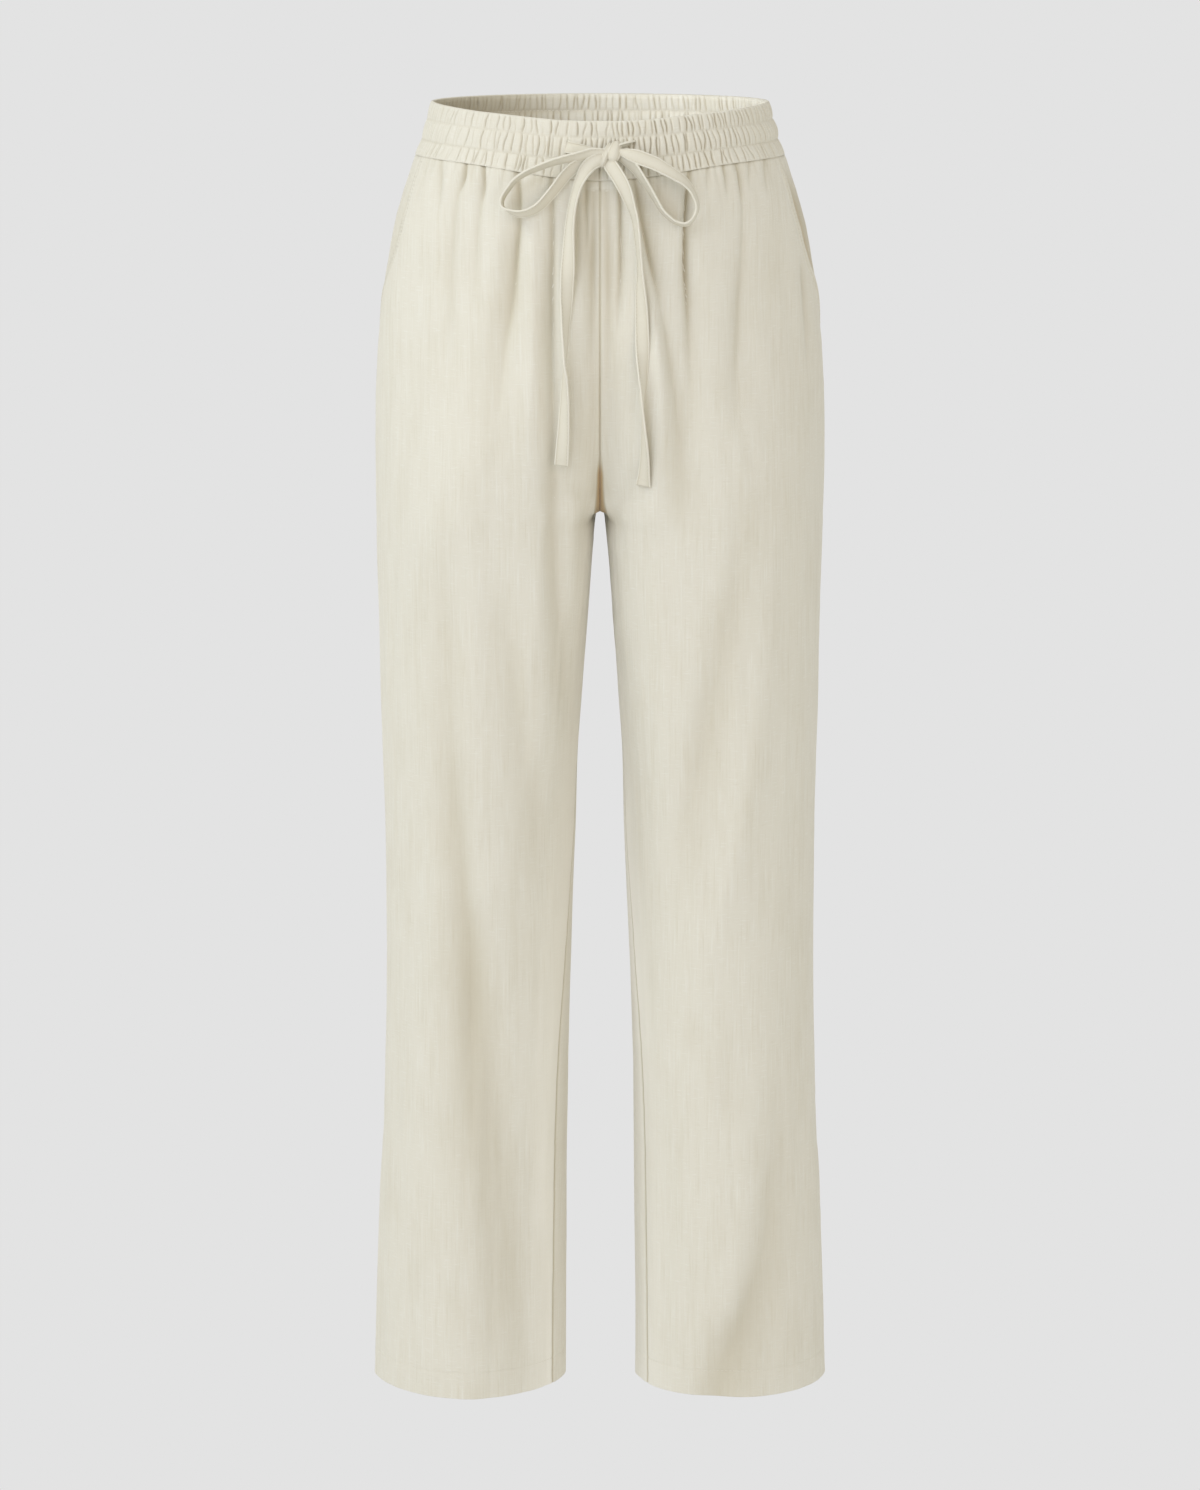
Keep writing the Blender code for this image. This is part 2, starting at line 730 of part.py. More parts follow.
def make_knot():
    """The knot the bow is tied with."""
    bpy.ops.mesh.primitive_uv_sphere_add(segments=20, ring_count=12, radius=1.0)
    knot = bpy.context.object
    knot.name = "bow_knot"
    knot.data.name = "bow_knot"
    knot.scale = (KNOT_LONG, KNOT_DEEP, KNOT_TALL)
    knot.rotation_euler = (0.0, -KNOT_SLANT, 0.0)
    knot.location = knot_centre()
    for holder in list(knot.users_collection):
        holder.objects.unlink(knot)
    TROUSERS.objects.link(knot)
    return knot


def clear_scene():
    for thing in list(bpy.data.objects):
        bpy.data.objects.remove(thing, do_unlink=True)


def build():
    make_waistband()
    for piece in ("front_left", "front_right", "back_left", "back_right"):
        make_panel(piece)
    for piece in ("pocket_facing_left", "pocket_facing_right"):
        make_facing(piece)
    make_tape("drawstring_lead_left", LEAD_LEFT_MM)
    make_tape("drawstring_lead_right", LEAD_RIGHT_MM)
    make_tape("bow_loop_left", LOOP_LEFT_MM)
    make_tape("bow_loop_right", LOOP_RIGHT_MM)
    make_tape("drawstring_tail_left", TAIL_LEFT_MM)
    make_tape("drawstring_tail_right", TAIL_RIGHT_MM)
    make_knot()


clear_scene()
TROUSERS = bpy.data.collections.new("linen_drawstring_trousers")
bpy.context.scene.collection.children.link(TROUSERS)
build()
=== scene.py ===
import math
from collections import namedtuple

import bmesh
import bpy
import numpy as np
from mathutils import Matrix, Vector


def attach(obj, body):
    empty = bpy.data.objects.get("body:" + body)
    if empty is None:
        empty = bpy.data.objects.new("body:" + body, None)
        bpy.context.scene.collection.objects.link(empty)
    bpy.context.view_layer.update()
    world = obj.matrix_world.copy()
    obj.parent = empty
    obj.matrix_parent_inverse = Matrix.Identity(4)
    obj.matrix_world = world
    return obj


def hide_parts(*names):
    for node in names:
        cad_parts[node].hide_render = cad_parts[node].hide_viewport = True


# Linen drawstring trousers: the cloth, its sewing and the drawstring, dressed on the
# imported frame. Lengths in the tables are millimetres, objects are in metres. +Z is up,
# the front faces -Y, +X is the wearer's left.

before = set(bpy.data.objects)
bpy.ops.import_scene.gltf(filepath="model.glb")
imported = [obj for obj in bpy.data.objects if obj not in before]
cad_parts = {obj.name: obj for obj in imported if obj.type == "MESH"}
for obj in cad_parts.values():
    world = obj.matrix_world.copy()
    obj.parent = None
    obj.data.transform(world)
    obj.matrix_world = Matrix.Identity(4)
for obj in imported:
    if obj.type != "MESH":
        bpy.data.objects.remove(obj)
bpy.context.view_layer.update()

MM = 0.001

# ---------------------------------------------------------------- the frame's form

RIM_Z = 23.6
FORK_Z = -293.5             # where the two legs part
HEM_Z = -1017.0
HEM_HEIGHT = 22.0           # the hem is turned up inside
WAIST_SEAM_Z = -17.0

SECTION_COLUMNS = ("z", "half_width", "inner", "front", "back", "side_y", "power")
SECTIONS = (
    (23.6, 131.0, -131.0, 95.0, 96.0, 0.0, 2.0),
    (10.5, 134.0, -134.0, 98.0, 98.5, 0.0, 2.0),
    (-7.0, 139.0, -139.0, 102.5, 103.0, 0.0, 2.0),
    (-17.0, 144.0, -144.0, 107.0, 108.0, 0.5, 2.0),
    (-30.0, 148.4, -148.4, 110.0, 112.5, 1.0, 2.0),
    (-53.0, 156.0, -155.0, 113.5, 119.5, 2.0, 2.0),
    (-76.5, 162.3, -153.0, 116.0, 126.0, 3.0, 2.0),
    (-100.0, 166.5, -147.0, 117.5, 131.0, 4.0, 2.0),
    (-131.0, 171.7, -135.0, 119.0, 136.0, 5.0, 2.0),
    (-155.0, 173.9, -119.0, 119.5, 138.0, 6.0, 2.0),
    (-179.0, 175.7, -98.0, 119.5, 138.5, 7.0, 2.0),
    (-210.0, 177.3, -69.0, 119.0, 137.0, 8.0, 2.0),
    (-242.0, 177.8, -38.0, 117.5, 133.0, 8.0, 2.0),
    (-260.0, 177.8, -22.0, 116.0, 129.5, 8.0, 2.0),
    (-274.0, 177.7, -12.0, 114.5, 126.5, 8.0, 2.0),
    (-287.0, 177.5, -3.2, 113.0, 123.0, 7.5, 2.0),
    (-293.5, 177.4, 0.0, 112.2, 121.3, 7.2, 2.0),
    (-296.5, 177.3, 2.0, 111.8, 120.6, 7.1, 2.0),
    (-303.0, 177.1, 3.6, 110.9, 119.0, 6.9, 2.0),
    (-314.0, 177.0, 4.8, 109.6, 116.5, 6.5, 1.99),
    (-330.0, 176.7, 6.4, 107.5, 113.0, 6.0, 1.98),
    (-387.0, 175.3, 10.6, 101.5, 105.0, 5.0, 1.96),
    (-452.0, 174.6, 15.2, 96.0, 98.0, 4.0, 1.94),
    (-501.0, 173.5, 18.5, 92.0, 94.0, 3.0, 1.92),
    (-550.0, 172.6, 19.7, 88.0, 90.5, 2.0, 1.9),
    (-600.0, 172.5, 21.8, 84.5, 88.0, 2.0, 1.9),
    (-650.0, 172.6, 23.5, 81.5, 86.0, 2.0, 1.88),
    (-700.0, 173.3, 25.2, 79.0, 84.0, 1.5, 1.86),
    (-751.0, 174.9, 26.5, 77.0, 82.0, 1.0, 1.84),
    (-802.0, 176.6, 27.2, 75.0, 80.0, 1.0, 1.82),
    (-853.0, 180.0, 27.5, 73.5, 77.0, 1.0, 1.8),
    (-905.0, 182.0, 28.0, 72.0, 74.5, 0.5, 1.78),
    (-957.0, 184.0, 28.5, 71.0, 72.0, 0.0, 1.76),
    (-1017.0, 186.2, 28.8, 70.0, 70.0, 0.0, 1.75),
)
DIP_COLUMNS = ("z", "dip")
DIPS = ((23.6, 9.6), (10.5, 8.5), (-7.0, 10.3), (-17.0, 12.8), (-60.0, 9.0), (-150.0, 0.0))
# How far up the front each line of the waist has come, by the sine of the angle from the
# middle: the rim hangs in a round curve, the waist seam in a soft V.
RISE_COLUMNS = ("sine", "rim", "seam")
RISE = ((0.0, 0.0, 0.0), (0.1, 0.005, 0.055), (0.2, 0.035, 0.145), (0.3, 0.12, 0.25),
        (0.45, 0.30, 0.49), (0.6, 0.47, 0.72), (0.7, 0.57, 0.83), (0.8, 0.70, 0.91),
        (0.9, 0.85, 0.97), (1.0, 1.0, 1.0))
# The front lies flat between the legs: the power of each section's inner half.
FLAT_COLUMNS = ("z", "power")
FLAT_FORK = ((23.6, 2.0), (-180.0, 2.0), (-235.0, 2.3), (-270.0, 2.9), (-293.5, 4.2), (-345.0, 4.2),
             (-400.0, 3.6), (-470.0, 2.9), (-560.0, 2.2), (-700.0, 2.0), (-1017.0, 1.85))
POCKET_COLUMNS = ("z", "angle")
POCKET_EDGE = ((-17.0, 74.4), (-37.0, 74.2), (-53.0, 73.4), (-70.0, 73.6), (-85.0, 74.4),
               (-100.0, 77.6), (-111.0, 81.8), (-125.0, 86.6), (-145.0, 90.0))
POCKET_END_Z = POCKET_EDGE[-1][0]
INSEAM_COLUMNS = ("z", "swing")
INSEAM_SWING = ((-293.5, 0.0), (-450.0, 3.0), (-535.0, 8.0), (-640.0, 17.0), (-760.0, 26.0),
                (-850.0, 28.0), (-1017.0, 28.0))


def column(columns, rows, name):
    """The values of one named column of a table."""
    place = columns.index(name)
    return [row[place] for row in rows]


def curve_through(columns, rows, name, first="z"):
    """A function that runs smoothly through one column of a table and never overshoots."""
    pairs = sorted(zip(column(columns, rows, first), column(columns, rows, name)))
    xs = np.array([x for x, _ in pairs])
    ys = np.array([y for _, y in pairs])
    steps = np.diff(ys) / np.diff(xs)
    slopes = np.zeros(len(ys))
    slopes[0] = steps[0]
    slopes[-1] = steps[-1]
    together = steps[:-1] + steps[1:]
    same_way = steps[:-1] * steps[1:] > 0
    slopes[1:-1] = np.where(same_way, 2 * steps[:-1] * steps[1:] / np.where(same_way, together, 1), 0)

    def value(x):
        """The column's value at x, held at both ends of the table."""
        x = np.clip(np.asarray(x, float), xs[0], xs[-1])
        i = np.clip(np.searchsorted(xs, x, side="right") - 1, 0, len(xs) - 2)
        span = xs[i + 1] - xs[i]
        s = (x - xs[i]) / span
        start = (2 * s**3 - 3 * s**2 + 1) * ys[i] + (s**3 - 2 * s**2 + s) * span * slopes[i]
        end = (3 * s**2 - 2 * s**3) * ys[i + 1] + (s**3 - s**2) * span * slopes[i + 1]
        return start + end

    return value


HALF_WIDTH = curve_through(SECTION_COLUMNS, SECTIONS, "half_width")
INNER = curve_through(SECTION_COLUMNS, SECTIONS, "inner")
FRONT = curve_through(SECTION_COLUMNS, SECTIONS, "front")
BACK = curve_through(SECTION_COLUMNS, SECTIONS, "back")
SIDE_Y = curve_through(SECTION_COLUMNS, SECTIONS, "side_y")
POWER = curve_through(SECTION_COLUMNS, SECTIONS, "power")
INNER_POWER = curve_through(FLAT_COLUMNS, FLAT_FORK, "power")
DIP = curve_through(DIP_COLUMNS, DIPS, "dip")
POCKET_ANGLE = curve_through(POCKET_COLUMNS, POCKET_EDGE, "angle")
SWING = curve_through(INSEAM_COLUMNS, INSEAM_SWING, "swing")
RIM_RISE = curve_through(RISE_COLUMNS, RISE, "rim", "sine")
SEAM_RISE = curve_through(RISE_COLUMNS, RISE, "seam", "sine")


def vee(angle, height):
    """0 at the middle of the front, 1 from the side seams back."""
    sine = np.abs(np.sin(angle))
    down = np.clip((RIM_Z - height) / (RIM_Z - WAIST_SEAM_Z), 0, 1)
    rise = RIM_RISE(sine) * (1 - down) + SEAM_RISE(sine) * down
    return np.where(np.cos(angle) <= 0, 1.0, rise)


def half_centre(height):
    """Centre and reach in x of one half's section."""
    half_width = HALF_WIDTH(height)
    inner = INNER(height)
    return (half_width + inner) / 2, (half_width - inner) / 2


def first_angle(height, power=INNER_POWER):
    """The angle at which one half's section starts: middle of the front or inside leg."""
    centre, reach = half_centre(height)
    return -np.arcsin(np.clip(centre / reach, 0, 1) ** (power(height) / 2))


def section_point(angle, height, out=0.0):
    """Points of the wearer's left half, as an array with x, y and z last."""
    centre, reach = half_centre(height)
    side_y = SIDE_Y(height)
    power = np.where((np.sin(angle) < 0) & (np.cos(angle) > 0), INNER_POWER(height), POWER(height))
    sine = np.sign(np.sin(angle)) * np.abs(np.sin(angle)) ** (2 / power)
    cosine = np.sign(np.cos(angle)) * np.abs(np.cos(angle)) ** (2 / power)
    depth = np.where(cosine >= 0, FRONT(height) + side_y, BACK(height) - side_y)
    x = centre + (reach + out) * sine
    y = side_y - (depth + out) * cosine
    z = height - DIP(height) * (1 - vee(angle, height))
    return np.stack(np.broadcast_arrays(x, y, z), axis=-1)


def front_y(x, z):
    """The y of the frame's front at this x and height."""
    height = z
    for _ in range(5):
        centre, reach = half_centre(height)
        share = np.clip((np.abs(x) - centre) / reach, -1, 1)
        power = np.where(share < 0, INNER_POWER(height), POWER(height))
        angle = np.arcsin(np.sign(share) * np.abs(share) ** (power / 2))
        height = z + DIP(height) * (1 - vee(angle, height))
    return section_point(angle, height)[..., 1]


# ---------------------------------------------------------------- small helpers

NOISE_ROWS = 64             # after so many knots the unevenness starts again
SMALL_TURN = 0.01           # steps in angle and height that give the way out of the cloth
SMALL_RISE = 2.0


def smooth_step(value):
    """0 below 0, 1 above 1, and a soft ramp between."""
    value = np.clip(value, 0, 1)
    return value * value * (3 - 2 * value)


def soft_noise(across, along, seed, period=NOISE_ROWS):
    """Smooth unevenness from -1 to 1 with one knot a unit, repeating across."""
    lattice = np.random.default_rng(seed).uniform(-1, 1, (period, NOISE_ROWS))
    i = np.floor(across).astype(int)
    j = np.floor(along).astype(int)
    s = smooth_step(across - i)
    t = smooth_step(along - j)
    here, beyond = j % NOISE_ROWS, (j + 1) % NOISE_ROWS
    near = lattice[i % period, here] * (1 - s) + lattice[(i + 1) % period, here] * s
    far = lattice[i % period, beyond] * (1 - s) + lattice[(i + 1) % period, beyond] * s
    return near * (1 - t) + far * t


def bell(distance, width, power=2):
    """1 on a line, and a soft fall to 0 on both sides of it."""
    return np.exp(-(np.abs(distance) / width) ** power)


def unit(vectors):
    """Vectors of length 1."""
    length = np.linalg.norm(vectors, axis=-1, keepdims=True)
    return vectors / np.where(length < 1e-9, 1, length)


def way_out(angle, height):
    """Unit vectors that point straight out of the frame's section."""
    around = section_point(angle + SMALL_TURN, height) - section_point(angle - SMALL_TURN, height)
    upward = section_point(angle, height + SMALL_RISE) - section_point(angle, height - SMALL_RISE)
    return unit(np.cross(around, upward))


def on_grid(across, along):
    """Places on the flat cloth, one for each point of a grid."""
    return np.stack(np.broadcast_arrays(across, along), axis=-1)


def make_object(name, points, faces, corner_uv=None, smooth=True, painted_light_and_shade=None):
    """A mesh object from points in millimetres, faces, and a place on the cloth a corner."""
    mesh = bpy.data.meshes.new(name)
    mesh.from_pydata((np.asarray(points) * MM).tolist(), [], faces)
    # The mesh attribute holds painted shade, and painted light where it is below zero.
    layer = mesh.attributes.new("painted_light_and_shade", "FLOAT", "POINT")
    if painted_light_and_shade is not None:
        layer.data.foreach_set("value", np.asarray(painted_light_and_shade, float).ravel())
    if corner_uv is not None:
        layer = mesh.uv_layers.new(name="cloth")
        layer.data.foreach_set("uv", (np.asarray(corner_uv) * MM).ravel())
    shape = bmesh.new()
    shape.from_mesh(mesh)
    bmesh.ops.recalc_face_normals(shape, faces=shape.faces)
    shape.to_mesh(mesh)
    shape.free()
    mesh.polygons.foreach_set("use_smooth", [smooth] * len(mesh.polygons))
    piece = bpy.data.objects.new(name, mesh)
    bpy.context.scene.collection.objects.link(piece)
    return piece


def grid_quads(rows, columns, first, ring):
    """Faces of a grid of points, whose numbers start at first."""
    faces = []
    spans = columns if ring else columns - 1
    for row in range(rows - 1):
        start = first + row * columns
        for i in range(spans):
            j = (i + 1) % columns
            faces.append((start + i, start + j, start + columns + j, start + columns + i))
    return faces


def bridge(fine, coarse):
    """Faces between a line of points and one with as many spans, or half as many."""
    if len(fine) == len(coarse):
        return [(fine[i], fine[i + 1], coarse[i + 1], coarse[i]) for i in range(len(fine) - 1)]
    faces = []
    for i in range(len(coarse) - 1):
        a, b, c = fine[2 * i], fine[2 * i + 1], fine[2 * i + 2]
        near, far = coarse[i], coarse[i + 1]
        faces += [(a, b, near), (b, far, near), (b, c, far)]
    return faces


def make_shell(name, outside, inside, cloth_outside, cloth_inside, ring, mirror, painted_light_and_shade=None):
    """A closed shell of cloth: a fine outside grid, and an inside with half its spans."""
    rows, columns = outside.shape[:2]
    inner_rows, inner_columns = inside.shape[:2]
    first = rows * columns
    outer = np.arange(first).reshape(rows, columns)
    inner = first + np.arange(inner_rows * inner_columns).reshape(inner_rows, inner_columns)
    faces = grid_quads(rows, columns, 0, ring) + grid_quads(inner_rows, inner_columns, first, ring)
    for edge in (0, -1):
        fine = list(outer[edge]) + ([outer[edge][0]] if ring else [])
        coarse = list(inner[edge]) + ([inner[edge][0]] if ring else [])
        faces += bridge(fine, coarse)
        if not ring:
            faces += bridge(list(outer[:, edge]), list(inner[:, edge]))
    faces = [tuple(int(i) for i in face) for face in faces]
    points = np.concatenate([outside.reshape(-1, 3), inside.reshape(-1, 3)])
    places = np.concatenate([cloth_outside.reshape(-1, 2), cloth_inside.reshape(-1, 2)])
    if mirror:
        points = points * (-1, 1, 1)
    corners = places[np.concatenate([np.array(face) for face in faces])]
    if ring:
        corners = unwrap_ring(faces, corners, places)
    if painted_light_and_shade is not None:
        painted_light_and_shade = np.concatenate([painted_light_and_shade[0].ravel(), painted_light_and_shade[1].ravel()])
    return make_object(name, points, faces, corners, painted_light_and_shade=painted_light_and_shade)


def unwrap_ring(faces, corners, places):
    """The places on the cloth with the last span of a ring carried on past its end."""
    whole = places[:, 0].max() - places[:, 0].min()
    at = 0
    for face in faces:
        span = corners[at:at + len(face), 0]
        if span.max() - span.min() > whole / 2:
            span[span < whole / 2 + places[:, 0].min()] += whole
        at += len(face)
    return corners


# ---------------------------------------------------------------- camera

CAMERA_PLACE = (0.0, -3.42, 0.232)
CAMERA_DOWN = math.radians(11.9)
CAMERA_LENS = 105.2
CAMERA_SENSOR = 36.0

camera_data = bpy.data.cameras.new("camera")
camera_data.lens = CAMERA_LENS
camera_data.sensor_width = CAMERA_SENSOR
camera = bpy.data.objects.new("camera", camera_data)
camera.location = CAMERA_PLACE
camera.rotation_euler = (math.pi / 2 - CAMERA_DOWN, 0, 0)
bpy.context.scene.collection.objects.link(camera)
bpy.context.scene.camera = camera

# ---------------------------------------------------------------- drawstring

# Flat tape laid along points, one row a point. off is how far its middle stands out
# from the frame behind it, and tilt how far its face is turned away from the front.
# width and curl are given where the knot pinches the tape: curl is how far its two
# edges bend back.
TAPE_WIDTH = 11.0
TAPE_COLUMNS = ("x", "z", "off", "tilt", "width", "curl")
TapeRow = namedtuple("TapeRow", TAPE_COLUMNS, defaults=(TAPE_WIDTH, 0.0))
LEAD_RIGHT = (
    (-25.6, -4.6, 0.4, 10, 11.0, 0.0), (-24.3, -4.8, 3.0, 12, 9.6, 0.2),
    (-21.0, -5.2, 4.8, 14, 9.2, 0.3), (-15.0, -5.8, 5.4, 16, 7.8, 0.6),
    (-8.5, -6.5, 6.0, 18, 5.8, 0.8), (-2.0, -7.2, 6.8, 18, 3.8, 1.0),
    (3.5, -7.8, 8.0, 18, 3.0, 1.0),
)
LEAD_LEFT = (
    (24.6, -1.6, 0.4, 66, 6.0, 0.0), (23.4, -1.8, 3.0, 66, 5.6, 0.2),
    (20.6, -2.6, 5.2, 62, 5.8, 0.4), (17.0, -3.8, 6.6, 56, 5.8, 0.6),
    (13.0, -5.2, 8.4, 46, 5.0, 0.8), (9.0, -6.4, 9.0, 40, 4.0, 0.8),
)
LOOP_RIGHT = (
    (5.0, -8.0, 11.4, 8, 5.0, 1.2), (0.0, -8.4, 12.2, 14, 7.0, 1.0),
    (-6.0, -9.0, 13.0, 28, 9.6, 0.6), (-12.0, -10.2, 13.8, 42, 11.0, 0.3),
    (-18.9, -11.4, 14.6, 50), (-25.9, -12.8, 15.2, 56), (-35.1, -15.2, 15.6, 60),
    (-46.7, -19.4, 15.6, 64), (-55.9, -23.4, 15.2, 67), (-63.5, -28.5, 14.6, 70),
    (-68.8, -34.7, 13.8, 71), (-72.7, -40.6, 13.0, 73), (-74.4, -45.8, 12.2, 78),
    (-72.3, -50.4, 11.4, 92), (-62.8, -54.1, 10.2, 118), (-53.7, -52.8, 9.2, 126),
    (-45.6, -48.2, 8.6, 130), (-39.3, -41.6, 8.0, 134), (-32.9, -34.0, 7.4, 138),
    (-26.2, -25.6, 7.0, 144), (-19.2, -19.2, 7.2, 150), (-11.0, -15.0, 7.6, 156, 10.0, 0.4),
    (-3.5, -12.8, 8.0, 162, 7.0, 0.8), (3.0, -11.6, 8.2, 166, 5.0, 1.0),
)
LOOP_LEFT = (
    (9.0, -7.2, 9.6, 8, 4.0, 1.4), (14.0, -7.6, 11.6, 8, 4.6, 1.5), (18.0, -8.3, 13.2, 8, 7.0, 1.4),
    (23.0, -9.6, 14.6, 8, 9.6, 1.0), (28.5, -11.2, 15.4, 10, 11.0, 0.5),
    (34.5, -13.4, 15.8, 14), (41.6, -16.2, 16.0, 22), (49.2, -20.4, 15.8, 38),
    (57.3, -25.3, 15.4, 50), (64.3, -30.1, 14.8, 62), (69.6, -36.7, 14.0, 72),
    (73.1, -44.5, 13.0, 76), (73.7, -50.7, 12.2, 77), (71.9, -55.9, 11.4, 77),
    (68.5, -60.2, 10.8, 75), (63.3, -62.0, 10.2, 74), (56.9, -60.2, 9.6, 74),
    (51.7, -56.5, 9.2, 74), (46.4, -51.0, 8.8, 73), (41.8, -43.4, 8.4, 70),
    (36.6, -34.8, 8.8, 66), (31.2, -26.6, 9.4, 60), (26.0, -19.8, 9.4, 50),
    (19.8, -14.6, 9.0, 36, 9.6, 0.5), (13.8, -11.4, 8.6, 26, 6.4, 1.0), (8.0, -9.8, 8.0, 18, 5.0, 1.0),
)
TAIL_RIGHT = (
    (5.6, -11.4, 8.6, 0, 8.0, 1.6), (1.4, -12.4, 12.2, 0, 10.0, 2.2),
    (-3.2, -14.2, 13.6, -4, 11.0, 2.4), (-7.6, -16.6, 13.2, -12, 11.0, 2.0),
    (-11.3, -20.6, 12.0, -28, 11.0, 1.2), (-14.4, -26.4, 11.0, -46, 11.0, 0.6),
    (-17.4, -34.0, 10.2, -58, 11.0, 0.2), (-20.6, -46.4, 9.0, -60),
    (-23.0, -63.4, 7.4, -52), (-24.0, -85.8, 5.6, -28), (-25.1, -106.0, 4.6, 14),
    (-25.6, -118.3, 4.6, 28), (-25.8, -127.3, 5.0, 42), (-26.4, -139.4, 6.1, 58),
    (-26.4, -152.9, 6.6, 70), (-26.6, -166.6, 6.8, 84), (-26.7, -176.6, 6.9, 106),
    (-26.7, -190.2, 6.9, 121), (-27.2, -204.2, 6.8, 133), (-27.8, -218.0, 6.4, 144),
    (-28.5, -229.2, 5.6, 156), (-29.7, -245.8, 4.4, 172),
)
TAIL_LEFT = (
    (4.6, -12.4, 8.6, 0, 8.0, 1.4), (6.8, -16.0, 11.2, -2, 10.4, 1.2),
    (9.8, -20.4, 12.0, -4, 11.0, 0.7), (13.4, -25.6, 11.8, -8, 11.0, 0.3),
    (16.9, -31.6, 11.2, -16), (20.0, -38.4, 10.4, -32), (22.8, -46.4, 9.6, -50),
    (26.4, -58.1, 8.6, -64), (28.4, -73.1, 7.5, -69), (29.7, -86.7, 6.4, -72),
    (30.4, -98.0, 6.3, -68), (30.6, -107.0, 5.8, -56), (31.0, -116.1, 5.0, -42),
    (31.5, -126.6, 4.1, -30), (31.9, -139.5, 3.4, -18), (32.2, -152.4, 3.0, 2),
    (32.3, -162.2, 3.9, 25), (32.4, -170.5, 5.0, 42), (32.7, -179.7, 5.7, 56),
    (32.8, -187.3, 6.1, 68), (32.7, -197.2, 6.2, 82), (33.0, -208.1, 6.1, 94),
    (33.6, -221.3, 6.0, 106), (34.0, -231.9, 5.8, 118), (34.1, -242.9, 5.2, 130),
    (33.7, -253.1, 4.4, 146), (33.0, -261.9, 3.4, 164, 12.6, 0.2),
)
# The tape's turns round the knot: a broad one, and a pinched one beside it.
WRAP_BROAD = (
    (13.4, -0.6, 4.0, 0, 7.0, 2.0), (13.0, -1.6, 8.6, 0, 8.4, 2.5), (12.1, -4.0, 12.4, 0, 9.6, 2.9),
    (10.9, -7.4, 14.4, 0, 10.6, 3.2), (9.8, -10.9, 14.2, 0, 10.4, 3.2), (8.9, -13.9, 12.2, 0, 9.2, 2.8),
    (8.3, -15.6, 8.8, 0, 7.8, 2.4), (8.1, -16.2, 5.0, 0, 6.6, 2.0),
)
WRAP_PINCHED = (
    (8.0, -1.8, 5.0, 0, 4.0, 1.2), (7.2, -3.4, 9.4, 0, 4.8, 1.5), (5.6, -6.6, 12.2, 0, 5.4, 1.8),
    (3.9, -10.8, 13.2, 0, 5.4, 1.8), (2.3, -14.8, 12.4, 0, 4.8, 1.6), (1.0, -18.0, 10.4, 0, 4.0, 1.3),
    (0.4, -19.6, 7.0, 0, 3.2, 1.0),
)
# The tape's cut across: its two turned-in edges are thicker than the middle.
TAPE_FACE = (
    (-5.42, 0.5), (-5.1, 0.8), (-4.6, 0.82), (-4.1, 0.45), (-3.2, 0.52), (-1.6, 0.5), (0.0, 0.48),
    (1.6, 0.5), (3.2, 0.52), (4.1, 0.45), (4.6, 0.82), (5.1, 0.8), (5.42, 0.5),
)
TAPE_CUT = ((-5.5, 0.0), *TAPE_FACE, (5.5, 0.0), *((-x, -y) for x, y in TAPE_FACE))
# Painted shade on the tape between its edges, by the distance from its middle, which leaves its edges
# looking lit.
TAPE_PAINTED_SHADE_TONES = {4.1: 0.75, 3.2: 0.4, 1.6: 0.28, 0.0: 0.24}
TAPE_SHADE = tuple(TAPE_PAINTED_SHADE_TONES.get(abs(x), 0.0) for x, _ in TAPE_CUT)
TAPE_STEP = 1.2             # length of one ring of the tape's mesh
WRAP_STEP = 0.7
PINCH_RIPPLE = 1.2          # how strongly pinched tape ripples
RIPPLE_DEPTH = 0.42
RIPPLE_ACROSS = 7.5
RIPPLE_ALONG = 0.12
CURVE_SAMPLES = 24          # samples of a smooth line between two of its points


def through_points(points, step):
    """A smooth line through the points, and its evenly spaced samples."""
    points = np.asarray(points, float)
    ends = np.concatenate([[2 * points[0] - points[1]], points, [2 * points[-1] - points[-2]]])
    fine = []
    for i in range(len(points) - 1):
        a, b, c, d = ends[i:i + 4]
        for t in np.linspace(0, 1, CURVE_SAMPLES, endpoint=False):
            fine.append(0.5 * (2 * b + (c - a) * t + (2 * a - 5 * b + 4 * c - d) * t**2
                               + (3 * b - a - 3 * c + d) * t**3))
    fine.append(points[-1])
    fine = np.array(fine)
    run = np.concatenate([[0], np.cumsum(np.linalg.norm(np.diff(fine[:, :3], axis=0), axis=1))])
    count = max(2, int(round(run[-1] / step)) + 1)
    even = np.linspace(0, run[-1], count)
    return np.stack([np.interp(even, run, fine[:, i]) for i in range(fine.shape[1])], axis=1), even


def tape_line(rows, step=TAPE_STEP):
    """The tape's middle line, tilt, width and curl, from the rows of its table."""
    points = []
    for row in rows:
        at = TapeRow(*row)
        y = float(front_y(at.x, at.z)) - at.off
        points.append((at.x, y, at.z, at.tilt, at.width, at.curl))
    return through_points(points, step)


def tape_frames(middles, tilts):
    """Unit vectors along the tape, across its width, and out of its face."""
    along = unit(np.gradient(middles, axis=0))
    across = unit(np.cross(along, (0.0, -1.0, 0.0)))
    straight_out = unit(np.cross(across, along))
    tilt = np.radians(tilts)[:, None]
    wide = unit(across * np.cos(tilt) + straight_out * np.sin(tilt))
    return along, wide, unit(np.cross(wide, along))


